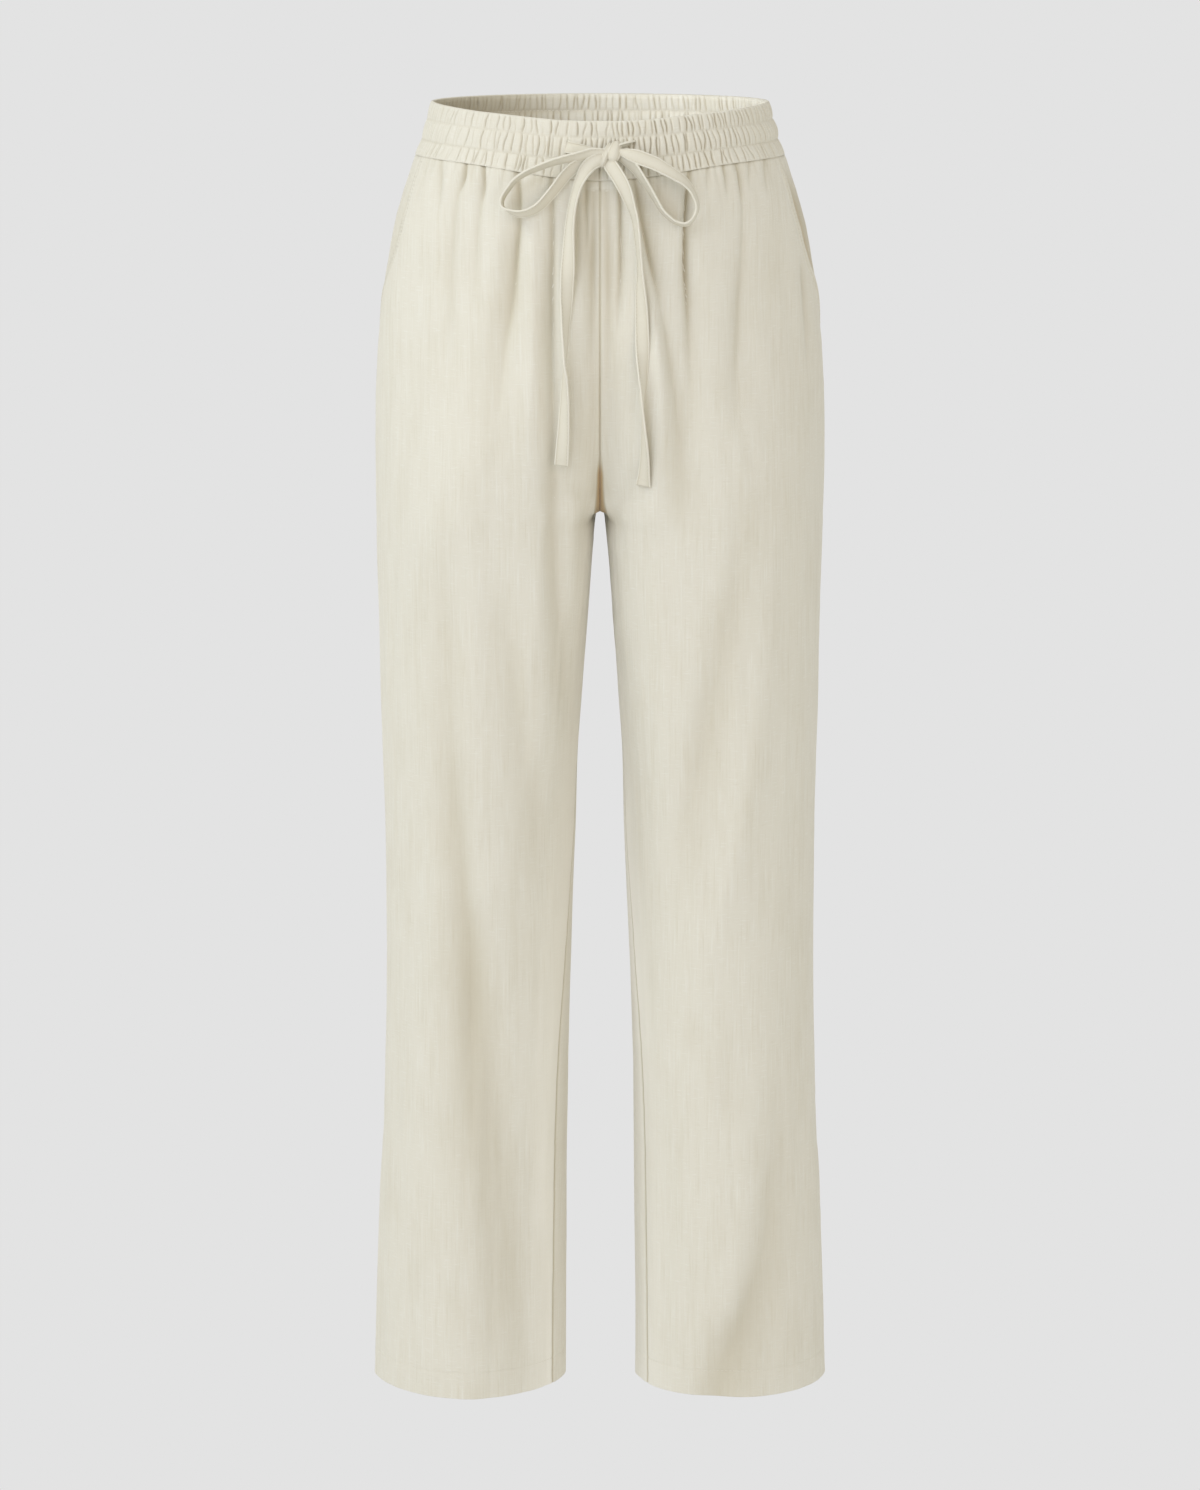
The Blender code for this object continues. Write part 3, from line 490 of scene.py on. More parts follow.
def ribbon(rows, step=TAPE_STEP, pleats=0.0):
    """Points, faces and cloth places of one length of tape."""
    line, run = tape_line(rows, step)
    middles, tilts = line[:, :3], line[:, 3]
    width, curl = line[:, 4, None, None], line[:, 5, None, None]
    _, wide, thick = tape_frames(middles, tilts)
    cut = np.array(TAPE_CUT)
    side = cut[None, :, :1] / TAPE_WIDTH * 2
    spare = (1 - width / TAPE_WIDTH) * PINCH_RIPPLE + pleats
    ripple = spare * RIPPLE_DEPTH * np.cos(side * RIPPLE_ACROSS + run[:, None, None] * RIPPLE_ALONG)
    rings = (middles[:, None] + wide[:, None] * side * width / 2
             + thick[:, None] * (cut[None, :, 1:] - curl * side**2 + ripple * (1 - side**4)))
    count = len(cut)
    points = rings.reshape(-1, 3)
    faces = grid_quads(len(rings), count, 0, True)
    last = (len(rings) - 1) * count
    faces.append(tuple(range(count - 1, -1, -1)))
    faces.append(tuple(range(last, last + count)))
    round_cut = np.linspace(0, 2 * TAPE_WIDTH, count)
    places = on_grid(round_cut[None, :], run[:, None]).reshape(-1, 2)
    return points, faces, places, np.tile(TAPE_SHADE, len(rings)), middles


def join_parts(name, parts):
    """One object from several lists of points, faces, cloth places and, for some, shades."""
    points, faces, places, shades = [], [], [], []
    first = 0
    for part_points, part_faces, part_places, *shade in parts:
        points.append(part_points)
        places.append(part_places)
        shades.append(shade[0] if shade else np.zeros(len(part_points)))
        faces += [tuple(first + int(i) for i in face) for face in part_faces]
        first += len(part_points)
    points = np.concatenate(points)
    places = np.concatenate(places)
    corners = places[np.concatenate([np.array(face) for face in faces])]
    return make_object(name, points, faces, corners, painted_light_and_shade=np.concatenate(shades))


def make_drawstring(name, tables):
    """One half of the drawstring, and the line that it follows in metres."""
    parts, path = [], []
    for rows in tables:
        points, faces, places, shade, middles = ribbon(rows)
        parts.append((points, faces, places, shade))
        path += [tuple(p) for p in (middles[::4] * MM)] + [tuple(middles[-1] * MM)]
    return join_parts(name, parts), path


def path_length(path):
    """The length of a line of points."""
    return float(np.linalg.norm(np.diff(np.array(path), axis=0), axis=1).sum())


drawstring_left, path_left = make_drawstring("drawstring_left", (LEAD_LEFT, LOOP_LEFT, TAIL_LEFT))
drawstring_right, path_right = make_drawstring("drawstring_right",
                                               (LEAD_RIGHT, LOOP_RIGHT, TAIL_RIGHT))
print("drawstring lengths", path_length(path_left), path_length(path_right))

bow_knot = join_parts("bow_knot_wrap", [ribbon(WRAP_BROAD, WRAP_STEP, 0.25)[:4],
                                         ribbon(WRAP_PINCHED, WRAP_STEP, 0.35)[:4]])

# ---------------------------------------------------------------- waistband

# Gathers of each strip, as angles round the waist from the middle of the front; the
# rest of the way round they are drawn unevenly. Plus is the wearer's left.
STRIP_1_FRONT = (
    -74.5, -70.5, -65.9, -62.2, -58.4, -56.1, -50.5, -47.1, -40.6, -35.7, -33.2, -31.1, -25.9,
    -23.0, -21.1, -16.2, -14.2, -10.7, -7.3, -4.9, -2.7, -0.9, 2.4, 4.4, 6.0, 7.4, 9.4, 10.8,
    13.0, 15.1, 17.3, 18.6, 20.9, 22.2, 24.2, 27.1, 29.6, 31.2, 32.6, 34.8, 36.0, 38.6, 40.2,
    41.5, 43.4, 44.9, 46.3, 48.7, 50.3, 52.3, 54.4, 56.2, 58.5, 61.5, 64.3, 66.3, 69.2, 72.5,
    76.7,
)
STRIP_2_FRONT = (
    -69.9, -58.5, -48.0, -41.2, -35.8, -34.3, -31.8, -29.1, -26.0, -24.0, -21.7, -20.0, -17.8,
    -16.4, -15.2, -12.6, -10.4, -5.7, -4.6, -2.6, -0.9, 0.8, 2.3, 3.5, 5.0, 6.2, 7.7, 9.1,
    10.7, 12.9, 14.4, 16.3, 18.5, 19.3, 21.6, 23.9, 25.6, 28.2, 28.9, 31.9, 33.7, 35.6, 37.6,
    39.6, 41.7, 44.4, 46.7, 49.1, 50.9, 53.6, 56.0, 59.4, 62.8, 66.8, 71.5, 78.3,
)
STRIP_3_FRONT = (
    -61.8, -49.9, -45.9, -43.2, -41.9, -39.2, -38.0, -35.4, -30.4, -26.6, -25.5, -24.1, -22.9,
    -20.0, -17.7, -14.6, -11.9, -9.6, -6.2, -3.6, 0.0, 2.2, 4.8, 7.5, 10.1, 12.7, 15.0, 17.4,
    20.1, 22.9, 25.0, 26.7, 28.6, 31.0, 32.7, 35.2, 37.6, 41.3, 42.8, 44.9, 47.7, 51.3, 55.2,
    58.8, 62.9, 69.9, 75.6,
)
# Each strip from the rim down: its top and bottom edge, how far it puffs out, the gathers
# of its front, and the seed that draws the rest.
Strip = namedtuple("Strip", ("top", "bottom", "puff", "front", "seed"))
STRIPS = (
    Strip(RIM_Z, 10.5, 0.9, STRIP_1_FRONT, 11),
    Strip(10.5, -5.0, 1.9, STRIP_2_FRONT, 12),
    Strip(-5.0, WAIST_SEAM_Z, 0.6, STRIP_3_FRONT, 13),
)
GROOVES = (10.5, -5.0)      # the heights of the stitched lines
GROOVE_WIDTH = 0.7
GROOVE_DEPTH = 0.45
# The stitched lines get painted shade.
GROOVE_SHADE = 0.3
BAND_COLUMNS_ROUND = 1500
GATHER_SHARP = 2.4          # depth of a strong gather's thin crease
GATHER_BROAD = 0.6          # and of the soft trough round it
GATHER_LIP = 0.3            # height of the fine ridge beside it
CREASE_WIDTH = 0.48
LIP_PLACE = 1.3
LIP_WIDTH = 0.7
BAND_INSET = 2.6            # the inside layer and the elastic behind it
INSIDE_PUFF = 0.55
INSIDE_RELIEF = 0.8         # how far the gathers show on the inside
# The inside's darkening on the wearer's right is painted shade.
INSIDE_PAINTED_SHADE = 1.1           # how much darker the inside is on the wearer's right
WAIST_ROUND = 737.0         # once round the rim, for the cloth's places
LAP = WAIST_ROUND / 360
BAND_LIFT = 0.55            # how far the band stands out over the panels
# The edges roll in: the height of each ring, how far in it lies, and its place on the cloth.
RIM_TOP = 23.2
RIM_RING_Z = 23.4           # the rolled rings take the section's shape at this height
RIM_ROLL = ((24.05, 1.15, 25.2), (23.75, 0.5, 24.6))
BAND_FOOT = -16.6
FOOT_ROLL = ((-16.85, 0.15, -17.4), (-17.05, 0.45, -18.0))
RIM_WAVE = 0.35             # how far a gather dips the rim
BAND_ROWS = 1.25            # spacing of the rows outside and inside
BAND_INSIDE_ROWS = 3.4
INSIDE_PLACE = 80           # the band is cut double: the inside's place on the cloth


def firmness(radians):
    """How firmly the band is drawn in round the waist: least on the wearer's right."""
    return 0.45 + 0.55 * smooth_step((np.sin(radians) + 0.75) / 1.3)


def strip_gathers(strip):
    """Angle, strength, gap to its neighbours, and lean of each gather of one strip."""
    front = strip.front
    rng = np.random.default_rng(strip.seed)
    angles = []
    strengths = []
    for near, far in zip(front, (*front[1:], front[-1])):
        angles.append(near)
        strengths.append(rng.uniform(0.45, 1.0))
        between = int((far - near) / 1.9)
        for i in range(between - 1):
            angles.append(near + (far - near) * (i + 1 + rng.uniform(-0.25, 0.25)) / between)
            strengths.append(rng.uniform(0.08, 0.34))
    at = front[-1]
    while at < 360 + front[0] - 2.0:
        at += rng.uniform(1.1, 2.9)
        angles.append(at)
        strengths.append(rng.uniform(0.15, 1.0))
    angles = np.array(angles)
    gaps = np.diff(np.concatenate([[angles[-1] - 360], angles, [angles[0] + 360]]))
    gap = np.minimum(gaps[:-1], gaps[1:]) * LAP
    side = np.where(angles < 180, angles, angles - 360)
    lean = -0.8 * np.sin(np.radians(side)) ** 3 + rng.uniform(-0.35, 0.35, len(angles))
    return angles, np.array(strengths), gap, lean


def strip_relief(angle_degrees, heights, strip):
    """How far one strip's gathers pull in, and the painted shade in their creases, heavier where the
    band is drawn in firmly.
    """
    angles, strength, gap, lean = strip_gathers(strip)
    relief = np.zeros((len(heights), len(angle_degrees)))
    painted_light_and_shade = np.zeros_like(relief)
    place = (heights - (strip.top + strip.bottom) / 2) / ((strip.top - strip.bottom) / 2)
    bend = np.random.default_rng(strip.seed + 50).uniform(-0.35, 0.35, len(angles))
    firm = firmness(np.radians(angles))
    for i in range(len(angles)):
        line = angles[i] + lean[i] * place + bend[i] * np.sin(place * 2.4 + i)
        beside = ((angle_degrees[None, :] - line[:, None] + 180) % 360 - 180) * LAP
        sharp = bell(beside, CREASE_WIDTH, 1.6)
        lip = bell(beside - LIP_PLACE, LIP_WIDTH)
        broad = bell(beside, 0.28 * gap[i] + 0.5, 1.2)
        relief += strength[i] * (GATHER_SHARP * (0.4 + 0.6 * firm[i]) * sharp
                                 + GATHER_BROAD * firm[i] ** 2 * broad - GATHER_LIP * lip)
        painted_light_and_shade += strength[i] * ((0.9 + 0.5 * firm[i]) * sharp + 0.1 * firm[i] * broad)
    return relief, painted_light_and_shade


def strip_window(heights, strip):
    """1 inside a strip, falling to a tenth at its stitched edges and 0 beyond."""
    edge = np.minimum(strip.top - heights, heights - strip.bottom)
    return smooth_step((edge + 0.8) / 2.6) * (0.45 + 0.55 * smooth_step(edge / 3.0))


def groove_line(heights):
    """1 on the band's stitched lines, and 0 a little way from them."""
    return sum(bell(heights - groove, GROOVE_WIDTH) for groove in GROOVES)


def band_puff(heights):
    """How far the band's three strips stand out, with a narrow groove at each stitched line."""
    puff = np.zeros_like(heights)
    for strip in STRIPS:
        share = np.clip((strip.top - heights) / (strip.top - strip.bottom), 0, 1)
        puff = np.maximum(puff, strip.puff * np.sin(math.pi * share) ** 0.95)
    return puff - GROOVE_DEPTH * groove_line(heights)


def band_relief(angle_degrees, heights):
    """The gathers of all three strips: how far they pull in, and the painted shade in their creases and
    along the stitched lines.
    """
    pulled = np.zeros((len(heights), len(angle_degrees)))
    shade = np.zeros_like(pulled)
    for strip in STRIPS:
        relief, painted_light_and_shade = strip_relief(angle_degrees, heights, strip)
        window = strip_window(heights, strip)[:, None]
        pulled += relief * window
        shade += painted_light_and_shade * window
    return pulled, shade + GROOVE_SHADE * groove_line(heights)[:, None]


def waist_point(angle, height, out):
    """Points at any angle round the whole waist."""
    folded = (angle + math.pi) % (2 * math.pi) - math.pi
    points = section_point(np.abs(folded), height, out)
    points[..., 0] = np.where(folded >= 0, points[..., 0], -points[..., 0])
    return points


def band_heights(spacing):
    """Heights from the rim to the waist seam, closer together at the grooves and edges."""
    heights = list(np.linspace(RIM_TOP, BAND_FOOT, int(round((RIM_TOP - BAND_FOOT) / spacing)) + 1))
    for groove in GROOVES:
        heights += [groove - 0.45, groove + 0.45, groove]
    heights = np.array(sorted(set(np.round(heights, 2)), reverse=True))
    keep = np.concatenate([[True], np.abs(np.diff(heights)) > 0.3])
    return heights[keep]


def band_outside(degrees, heights, relief):
    """The band's outside, from its rolled rim to its foot."""
    firm = firmness(np.radians(degrees))
    angle = np.radians(degrees)
    lift = BAND_LIFT - 0.4 * smooth_step((-9 - heights) / 7)
    out = lift[:, None] + band_puff(heights)[:, None] * firm - relief
    middle = waist_point(angle[None, :], heights[:, None], out)
    rim_wave = relief[0] * RIM_WAVE
    middle[0, :, 2] -= rim_wave * 0.6
    rim, foot = [], []
    for height, inset, _ in RIM_ROLL:
        ring = waist_point(angle, np.full(degrees.shape, RIM_RING_Z), out[0] - inset)
        ring[:, 2] += height - RIM_RING_Z - rim_wave
        rim.append(ring)
    for height, inset, _ in FOOT_ROLL:
        foot.append(waist_point(angle, np.full(degrees.shape, height), out[-1] - inset))
    return np.concatenate([np.stack(rim), middle, np.stack(foot)])


def band_inside(degrees, heights, relief, rim_relief):
    """The band's inside: the same gathers, softer."""
    out = -BAND_INSET - INSIDE_PUFF * band_puff(heights)[:, None] + INSIDE_RELIEF * relief
    inside = waist_point(np.radians(degrees)[None, :], heights[:, None], out)
    inside[0, :, 2] -= rim_relief * RIM_WAVE * 0.6
    return inside


def make_waistband():
    """The gathered waistband: three puffed strips with a stitched line between each."""
    degrees = np.linspace(0, 360, BAND_COLUMNS_ROUND, endpoint=False)
    firm = firmness(np.radians(degrees))
    heights = band_heights(BAND_ROWS)
    relief, shade = band_relief(degrees, heights)
    inner_heights = band_heights(BAND_INSIDE_ROWS)
    inner_relief, inner_shade = band_relief(degrees, inner_heights)
    outside = band_outside(degrees, heights, relief)
    inside = band_inside(degrees, inner_heights, inner_relief, relief[0])
    run = np.concatenate([[row[2] for row in RIM_ROLL], heights, [row[2] for row in FOOT_ROLL]])
    cloth_outside = on_grid(degrees[None, :] * LAP, run[:, None])
    cloth_inside = on_grid(degrees[None, :] * LAP, INSIDE_PLACE - inner_heights[:, None])
    # Painted shade: less on the rolled rim, and more along the band's foot over the waist seam, most
    # where the band is drawn in firmly.
    rim, foot = shade[:1], shade[-1:]
    shade = np.concatenate([rim * 0.3, rim * 0.6, shade, foot + 0.15 * firm, foot + 0.4 * firm])
    # Painted shade on the inside: its gathers' creases, and more on the wearer's right, where the band's
    # own wall shadows it.
    deep = INSIDE_PAINTED_SHADE * smooth_step(-np.sin(np.radians(degrees)) * 1.4 + 0.05)
    inner_shade = np.clip(inner_shade * (1.4 + deep) + 0.8 * deep, 0, 1.1)
    return make_shell("waistband_cloth", outside, inside, cloth_outside, cloth_inside, True, False,
                      (np.clip(shade, 0, 1), inner_shade))


waistband = make_waistband()

# ---------------------------------------------------------------- leg panels

# Folds of the front, one list of points a fold: x and z of its line, how deep it is
# (a ridge is below zero), and its half width. Plus x is the wearer's left.
FOLD_COLUMNS = ("x", "z", "depth", "half_width")
FRONT_FOLDS = (
    ((-102.3, -18, 2.0, 2.0), (-105.2, -30, 2.4, 2.6), (-110.2, -44, 1.4, 5.0),
     (-113.9, -75, 1.6, 7.0), (-115.6, -112, 1.4, 8.0), (-118.4, -155, 0.8, 9.0),
     (-120.9, -184, 0.0, 10.0)),
    ((-89.1, -18, 2.2, 2.0), (-90.0, -35, 2.6, 2.6), (-92.5, -53, 1.6, 4.5),
     (-95.1, -83, 1.3, 5.5), (-96.3, -118, 0.6, 6.5), (-97.0, -140, 0.0, 6.5)),
    ((-63.0, -20, 2.0, 2.6), (-62.6, -45, 3.0, 3.6), (-63.0, -61, 3.5, 4.4),
     (-65.3, -82, 4.2, 5.6), (-68.4, -118, 4.0, 7.5), (-74.7, -164, 2.8, 10.0),
     (-77.8, -203, 1.8, 12.0), (-81.1, -241, 1.0, 13.0), (-86.0, -290, 0.0, 14.0)),
    ((-37.4, -20, 1.6, 2.4), (-37.0, -64, 3.2, 3.8), (-37.0, -105, 3.6, 4.2),
     (-36.2, -148, 3.6, 4.6), (-34.8, -200, 4.2, 5.2), (-32.6, -262, 4.2, 6.0),
     (-30.6, -330, 3.6, 6.5), (-27.5, -390, 2.4, 7.0), (-25.0, -440, 1.2, 7.0),
     (-24.0, -480, 0.0, 7.0)),
    ((-17.0, -24, 0.8, 3.0), (-18.0, -50, 2.4, 4.2), (-19.0, -80, 2.0, 5.5), (-20.0, -120, 0.0, 6.5)),
    ((-5.0, -40, 1.2, 6.0), (-5.5, -90, 3.6, 6.5), (-5.0, -140, 3.0, 7.0), (-4.0, -200, 1.2, 6.5),
     (-4.0, -260, 1.0, 6.0), (-4.0, -296, 1.2, 6.0), (-4.0, -302, 0.0, 6.0)),
    ((5.0, -40, 1.2, 7.0), (7.0, -90, 2.8, 7.0), (7.0, -150, 2.6, 7.5), (5.5, -210, 1.8, 8.0),
     (4.0, -260, 1.2, 7.0), (4.0, -296, 1.0, 6.0), (4.0, -302, 0.0, 6.0)),
    ((-10.8, -28, 1.4, 2.0), (-10.8, -48, 1.8, 2.2), (-10.6, -72, 1.2, 2.6), (-10.4, -98, 0.0, 3.0)),
    ((-122.1, -18, 1.0, 2.2), (-123.6, -33, 1.2, 3.0), (-125.1, -60, 0.0, 4.0)),
    ((-50.6, -40, 0.0, 6.0), (-51.0, -90, -2.4, 6.5), (-51.2, -149, -2.4, 7.0),
     (-52.4, -210, -2.0, 8.0), (-54.0, -280, 0.0, 9.0)),
    ((-76.0, -34, 0.0, 5.0), (-78.3, -75, -1.2, 6.0), (-83.8, -120, -1.2, 8.0),
     (-91.6, -180, 0.0, 9.0)),
    ((13.6, -24, 1.2, 2.2), (16.2, -51, 2.8, 2.6), (16.5, -85, 2.8, 2.8), (15.0, -125, 1.4, 3.0),
     (14.0, -150, 0.0, 3.0)),
    ((25.7, -24, 1.4, 2.6), (31.1, -52, 2.8, 3.4), (38.0, -88, 3.4, 3.4),
     (47.0, -127, 1.6, 4.0), (53.2, -165, 2.8, 4.6), (60.5, -215, 3.4, 7.0),
     (62.5, -262, 2.2, 8.5), (62.5, -310, 0.0, 10.0)),
    ((30.3, -70, 0.0, 4.5), (38.4, -126, -2.8, 6.0), (44.4, -160, -3.8, 6.4),
     (47.0, -210, -3.6, 7.0), (43.5, -262, -2.4, 7.0), (42.0, -310, 0.0, 8.0)),
    ((68.6, -19, 2.2, 2.6), (67.8, -43, 3.8, 3.0), (66.8, -67, 4.4, 3.2),
     (67.0, -90, 5.0, 3.8), (68.6, -127, 3.8, 5.2), (69.4, -160, 2.4, 6.8), (70.0, -200, 1.2, 8.0),
     (71.0, -240, 0.0, 8.0)),
    ((93.8, -18, 1.6, 2.0), (96.9, -31, 1.3, 2.6), (98.4, -50, 0.0, 3.4)),
    ((103.9, -18, 1.8, 2.2), (108.6, -32, 2.0, 2.8), (110.1, -54, 1.0, 3.6),
     (110.0, -85, 1.4, 6.0), (108.5, -130, 2.4, 8.0), (106.5, -180, 1.6, 9.0), (105.0, -230, 0.0, 9.0)),
    ((114.9, -18, 1.3, 1.8), (115.6, -29, 0.9, 2.4), (116.0, -42, 0.0, 3.0)),
    ((156.0, -90, 0.0, 3.0), (159.5, -115, 2.2, 3.0), (161.5, -145, 1.8, 3.4), (163.0, -190, 0.0, 4.0)),
    ((126.9, -18, 1.3, 1.8), (128.4, -30, 0.9, 2.4), (129.0, -44, 0.0, 3.0)),
    ((81.4, -18, 1.2, 2.0), (82.2, -32, 0.8, 2.6), (82.5, -46, 0.0, 3.0)),
    ((-119.2, -300, 0.0, 10.0), (-119.6, -393, 2.0, 11.0), (-117.2, -466, 2.6, 11.0),
     (-113.1, -530, 3.8, 11.0), (-108.0, -590, 4.2, 10.0), (-103.5, -650, 3.6, 10.0),
     (-103.5, -720, 2.1, 10.0), (-106.0, -840, 0.0, 12.0)),
    ((-97.0, -590, 0.0, 14.0), (-95.0, -643, 2.4, 14.0), (-92.0, -709, 4.0, 16.0),
     (-87.0, -775, 4.0, 19.0), (-78.0, -842, 3.4, 22.0), (-70.0, -908, 3.6, 18.0),
     (-66.0, -960, 2.6, 18.0), (-62.0, -1022, 1.5, 18.0)),
    ((-75.0, -330, 0.0, 9.0), (-70.0, -393, 1.6, 10.0), (-59.0, -467, 2.2, 10.0),
     (-52.0, -517, 2.2, 10.0), (-50.6, -559, 1.4, 11.0), (-50.0, -610, 0.0, 11.0)),
    ((-46.5, -320, 0.0, 7.0), (-46.1, -404, -1.6, 8.0), (-47.2, -486, -1.2, 8.0),
     (-47.5, -530, 0.0, 8.0)),
    ((-99.5, -700, 0.0, 7.0), (-100.1, -779, -1.4, 7.0), (-99.6, -906, -1.2, 7.0),
     (-98.1, -980, 0.0, 7.0)),
    ((-64.1, -710, 0.0, 7.0), (-62.8, -825, -1.2, 8.0), (-66.2, -900, 0.0, 8.0)),
    ((109.2, -260, 0.0, 10.0), (106.4, -329, 1.8, 10.0), (100.6, -368, 2.4, 10.0),
     (85.7, -441, 2.8, 11.0), (76.0, -498, 2.6, 11.0), (70.8, -539, 2.0, 11.0),
     (69.5, -620, 0.0, 12.0)),
    ((129.0, -300, 0.0, 9.0), (128.5, -386, -2.6, 9.0), (125.0, -450, -3.0, 9.0),
     (116.5, -514, -3.4, 9.0), (106.4, -565, -3.2, 10.0), (93.0, -621, -2.2, 11.0),
     (86.0, -663, -1.4, 11.0), (80.0, -720, 0.0, 11.0)),
    ((101.1, -690, 0.0, 6.0), (101.3, -754, 1.0, 7.0), (100.7, -800, 0.0, 7.0)),
    ((140.0, -740, 0.0, 9.0), (142.2, -807, 1.6, 9.0), (139.9, -843, 2.4, 10.0),
     (134.4, -890, 3.0, 11.0), (124.4, -931, 4.4, 12.0), (108.0, -975, 5.2, 18.0),
     (94.0, -1022, 4.5, 20.0)),
    ((-30.0, -235, 0.0, 6.0), (-20.0, -262, 0.9, 7.0), (-8.0, -290, 1.2, 8.0), (-6.0, -315, 0.0, 8.0)),
    ((28.0, -240, 0.0, 6.0), (20.0, -264, 0.8, 7.0), (8.0, -290, 1.1, 8.0), (6.0, -315, 0.0, 8.0)),
)
# Folds of the back, in the same columns.
BACK_FOLDS = (
    ((-16.0, -18, 1.6, 2.4), (-17.0, -50, 2.6, 4.0), (-19.0, -90, 1.8, 5.5), (-20.0, -125, 0.0, 6.0)),
    ((-44.0, -18, 1.8, 2.6), (-46.0, -50, 3.4, 4.4), (-51.0, -90, 3.4, 6.2),
     (-56.0, -140, 2.0, 8.0), (-60.0, -190, 0.0, 9.0)),
    ((-74.0, -18, 1.8, 2.6), (-77.0, -50, 3.0, 4.2), (-82.0, -85, 1.6, 6.0), (-84.0, -115, 0.0, 7.0)),
    ((-101.0, -18, 1.6, 2.4), (-106.0, -50, 2.8, 3.8), (-113.0, -90, 2.6, 5.4),
     (-119.0, -135, 1.2, 7.0), (-123.0, -170, 0.0, 8.0)),
    ((-124.0, -18, 1.4, 2.2), (-130.0, -50, 2.0, 3.2), (-136.0, -90, 0.0, 4.0)),
    ((20.0, -18, 1.6, 2.4), (22.0, -50, 2.8, 4.0), (25.0, -95, 2.4, 6.0), (27.0, -145, 0.0, 7.0)),
    ((49.0, -18, 1.8, 2.6), (52.0, -50, 3.4, 4.2), (58.0, -95, 3.2, 6.2),
     (63.0, -150, 1.8, 8.0), (66.0, -205, 0.0, 9.0)),
    ((80.0, -18, 1.6, 2.4), (84.0, -50, 2.6, 4.0), (89.0, -85, 1.4, 5.4), (91.0, -110, 0.0, 6.0)),
    ((106.0, -18, 1.8, 2.4), (111.0, -50, 2.8, 3.6), (119.0, -95, 2.2, 5.2),
     (124.0, -140, 0.0, 6.0)),
    ((127.0, -18, 1.4, 2.0), (133.0, -50, 1.8, 3.0), (139.0, -95, 0.0, 4.0)),
    ((-96.0, -250, 0.0, 12.0), (-104.0, -330, 2.6, 13.0), (-108.0, -420, 2.8, 13.0),
     (-104.0, -520, 2.2, 13.0), (-98.0, -620, 0.0, 13.0)),
    ((-60.0, -300, 0.0, 9.0), (-66.0, -370, 2.4, 10.0), (-72.0, -440, 1.8, 11.0),
     (-80.0, -520, 0.0, 11.0)),
    ((92.0, -260, 0.0, 12.0), (98.0, -340, 2.4, 12.0), (106.0, -430, 3.0, 13.0),
     (112.0, -520, 2.4, 13.0), (110.0, -620, 0.0, 13.0)),
    ((56.0, -310, 0.0, 9.0), (62.0, -380, 2.2, 10.0), (66.0, -450, 1.8, 11.0),
     (64.0, -530, 0.0, 11.0)),
    ((-120.0, -640, 0.0, 12.0), (-124.0, -730, 2.4, 13.0), (-120.0, -830, 2.6, 13.0),
     (-112.0, -930, 1.6, 13.0), (-108.0, -1000, 0.4, 13.0)),
    ((-76.0, -700, 0.0, 10.0), (-78.0, -790, -1.8, 10.0), (-80.0, -880, 0.0, 10.0)),
    ((96.0, -640, 0.0, 12.0), (92.0, -740, 2.6, 13.0), (98.0, -840, 2.4, 13.0),
     (108.0, -930, 1.8, 13.0), (114.0, -1000, 0.4, 13.0)),
    ((136.0, -660, 0.0, 10.0), (138.0, -760, -1.6, 10.0), (136.0, -860, 0.0, 10.0)),
    ((-26.0, -225, 0.0, 7.0), (-18.0, -258, 1.8, 8.0), (-7.0, -292, 2.4, 9.0), (-6.0, -325, 0.0, 9.0)),
    ((26.0, -225, 0.0, 7.0), (18.0, -260, 1.8, 8.0), (7.0, -292, 2.4, 9.0), (6.0, -325, 0.0, 9.0)),
)
PANELS = ("front_left", "front_right", "back_left", "back_right")
CLOTH_APART = 400           # the pieces are cut from places so far apart on the cloth
CLOTH_WALL = 0.9
HEM_WALL = 2.2
GRAIN_X = 100.0             # the straight thread hangs plumb here
SEAM_GAP = 0.01             # half of what is left between two pieces that are sewn together
PANEL_COLUMNS = 221
# Places of the columns across a panel, as shares: by a seam, and the even ones between.
PANEL_NEAR_SEAM = (0.0, 0.0022, 0.0048, 0.0085, 0.013)
PANEL_MIDDLE = (0.018, 0.982)
# Rows of a panel's mesh, from the waist seam down: top, bottom and spacing of each stretch.
PANEL_ROWS = ((WAIST_SEAM_Z, -60.0, 1.6), (-60.0, -130.0, 2.5), (-130.0, -330.0, 3.6),
              (-330.0, -992.0, 4.9), (-992.0, -1016.0, 1.5))
PANEL_FOOT = (-1016.0, -1016.7, HEM_Z)
FOLD_DEPTH = 1.9            # how much deeper the folds are than in the tables
LOW_FOLD_DEPTH = 1.5        # and further down the legs
RIDGE_HEIGHT = 1.3          # the same for the ridges
LOW_RIDGE_HEIGHT = 0.9
# The folds' and small gathers' darkening is painted shade, growing with their depth.
FOLD_SHADE = 4.2            # a fold this deep is as dark as creases get
GATHER_SHADE = 2.2
SMALL_GATHER = 0.85         # depth of the short gathers under the waist seam
# Painted light along the inside leg, where the cloth would be in shade: how much paler it is, how far
# from the seam, and how much of that is gone lower down.
PaintedLight = namedtuple("PaintedLight", ("amount", "reach", "fade"))
PAINTED_LIGHT_BY_PIECE = {
    "front_left": PaintedLight(1.0, 22, 0.6),
    "front_right": PaintedLight(0.75, 36, 0.0),
    "back_left": PaintedLight(0.9, 14, 0.6),
    "back_right": PaintedLight(0.2, 14, 0.6),
}
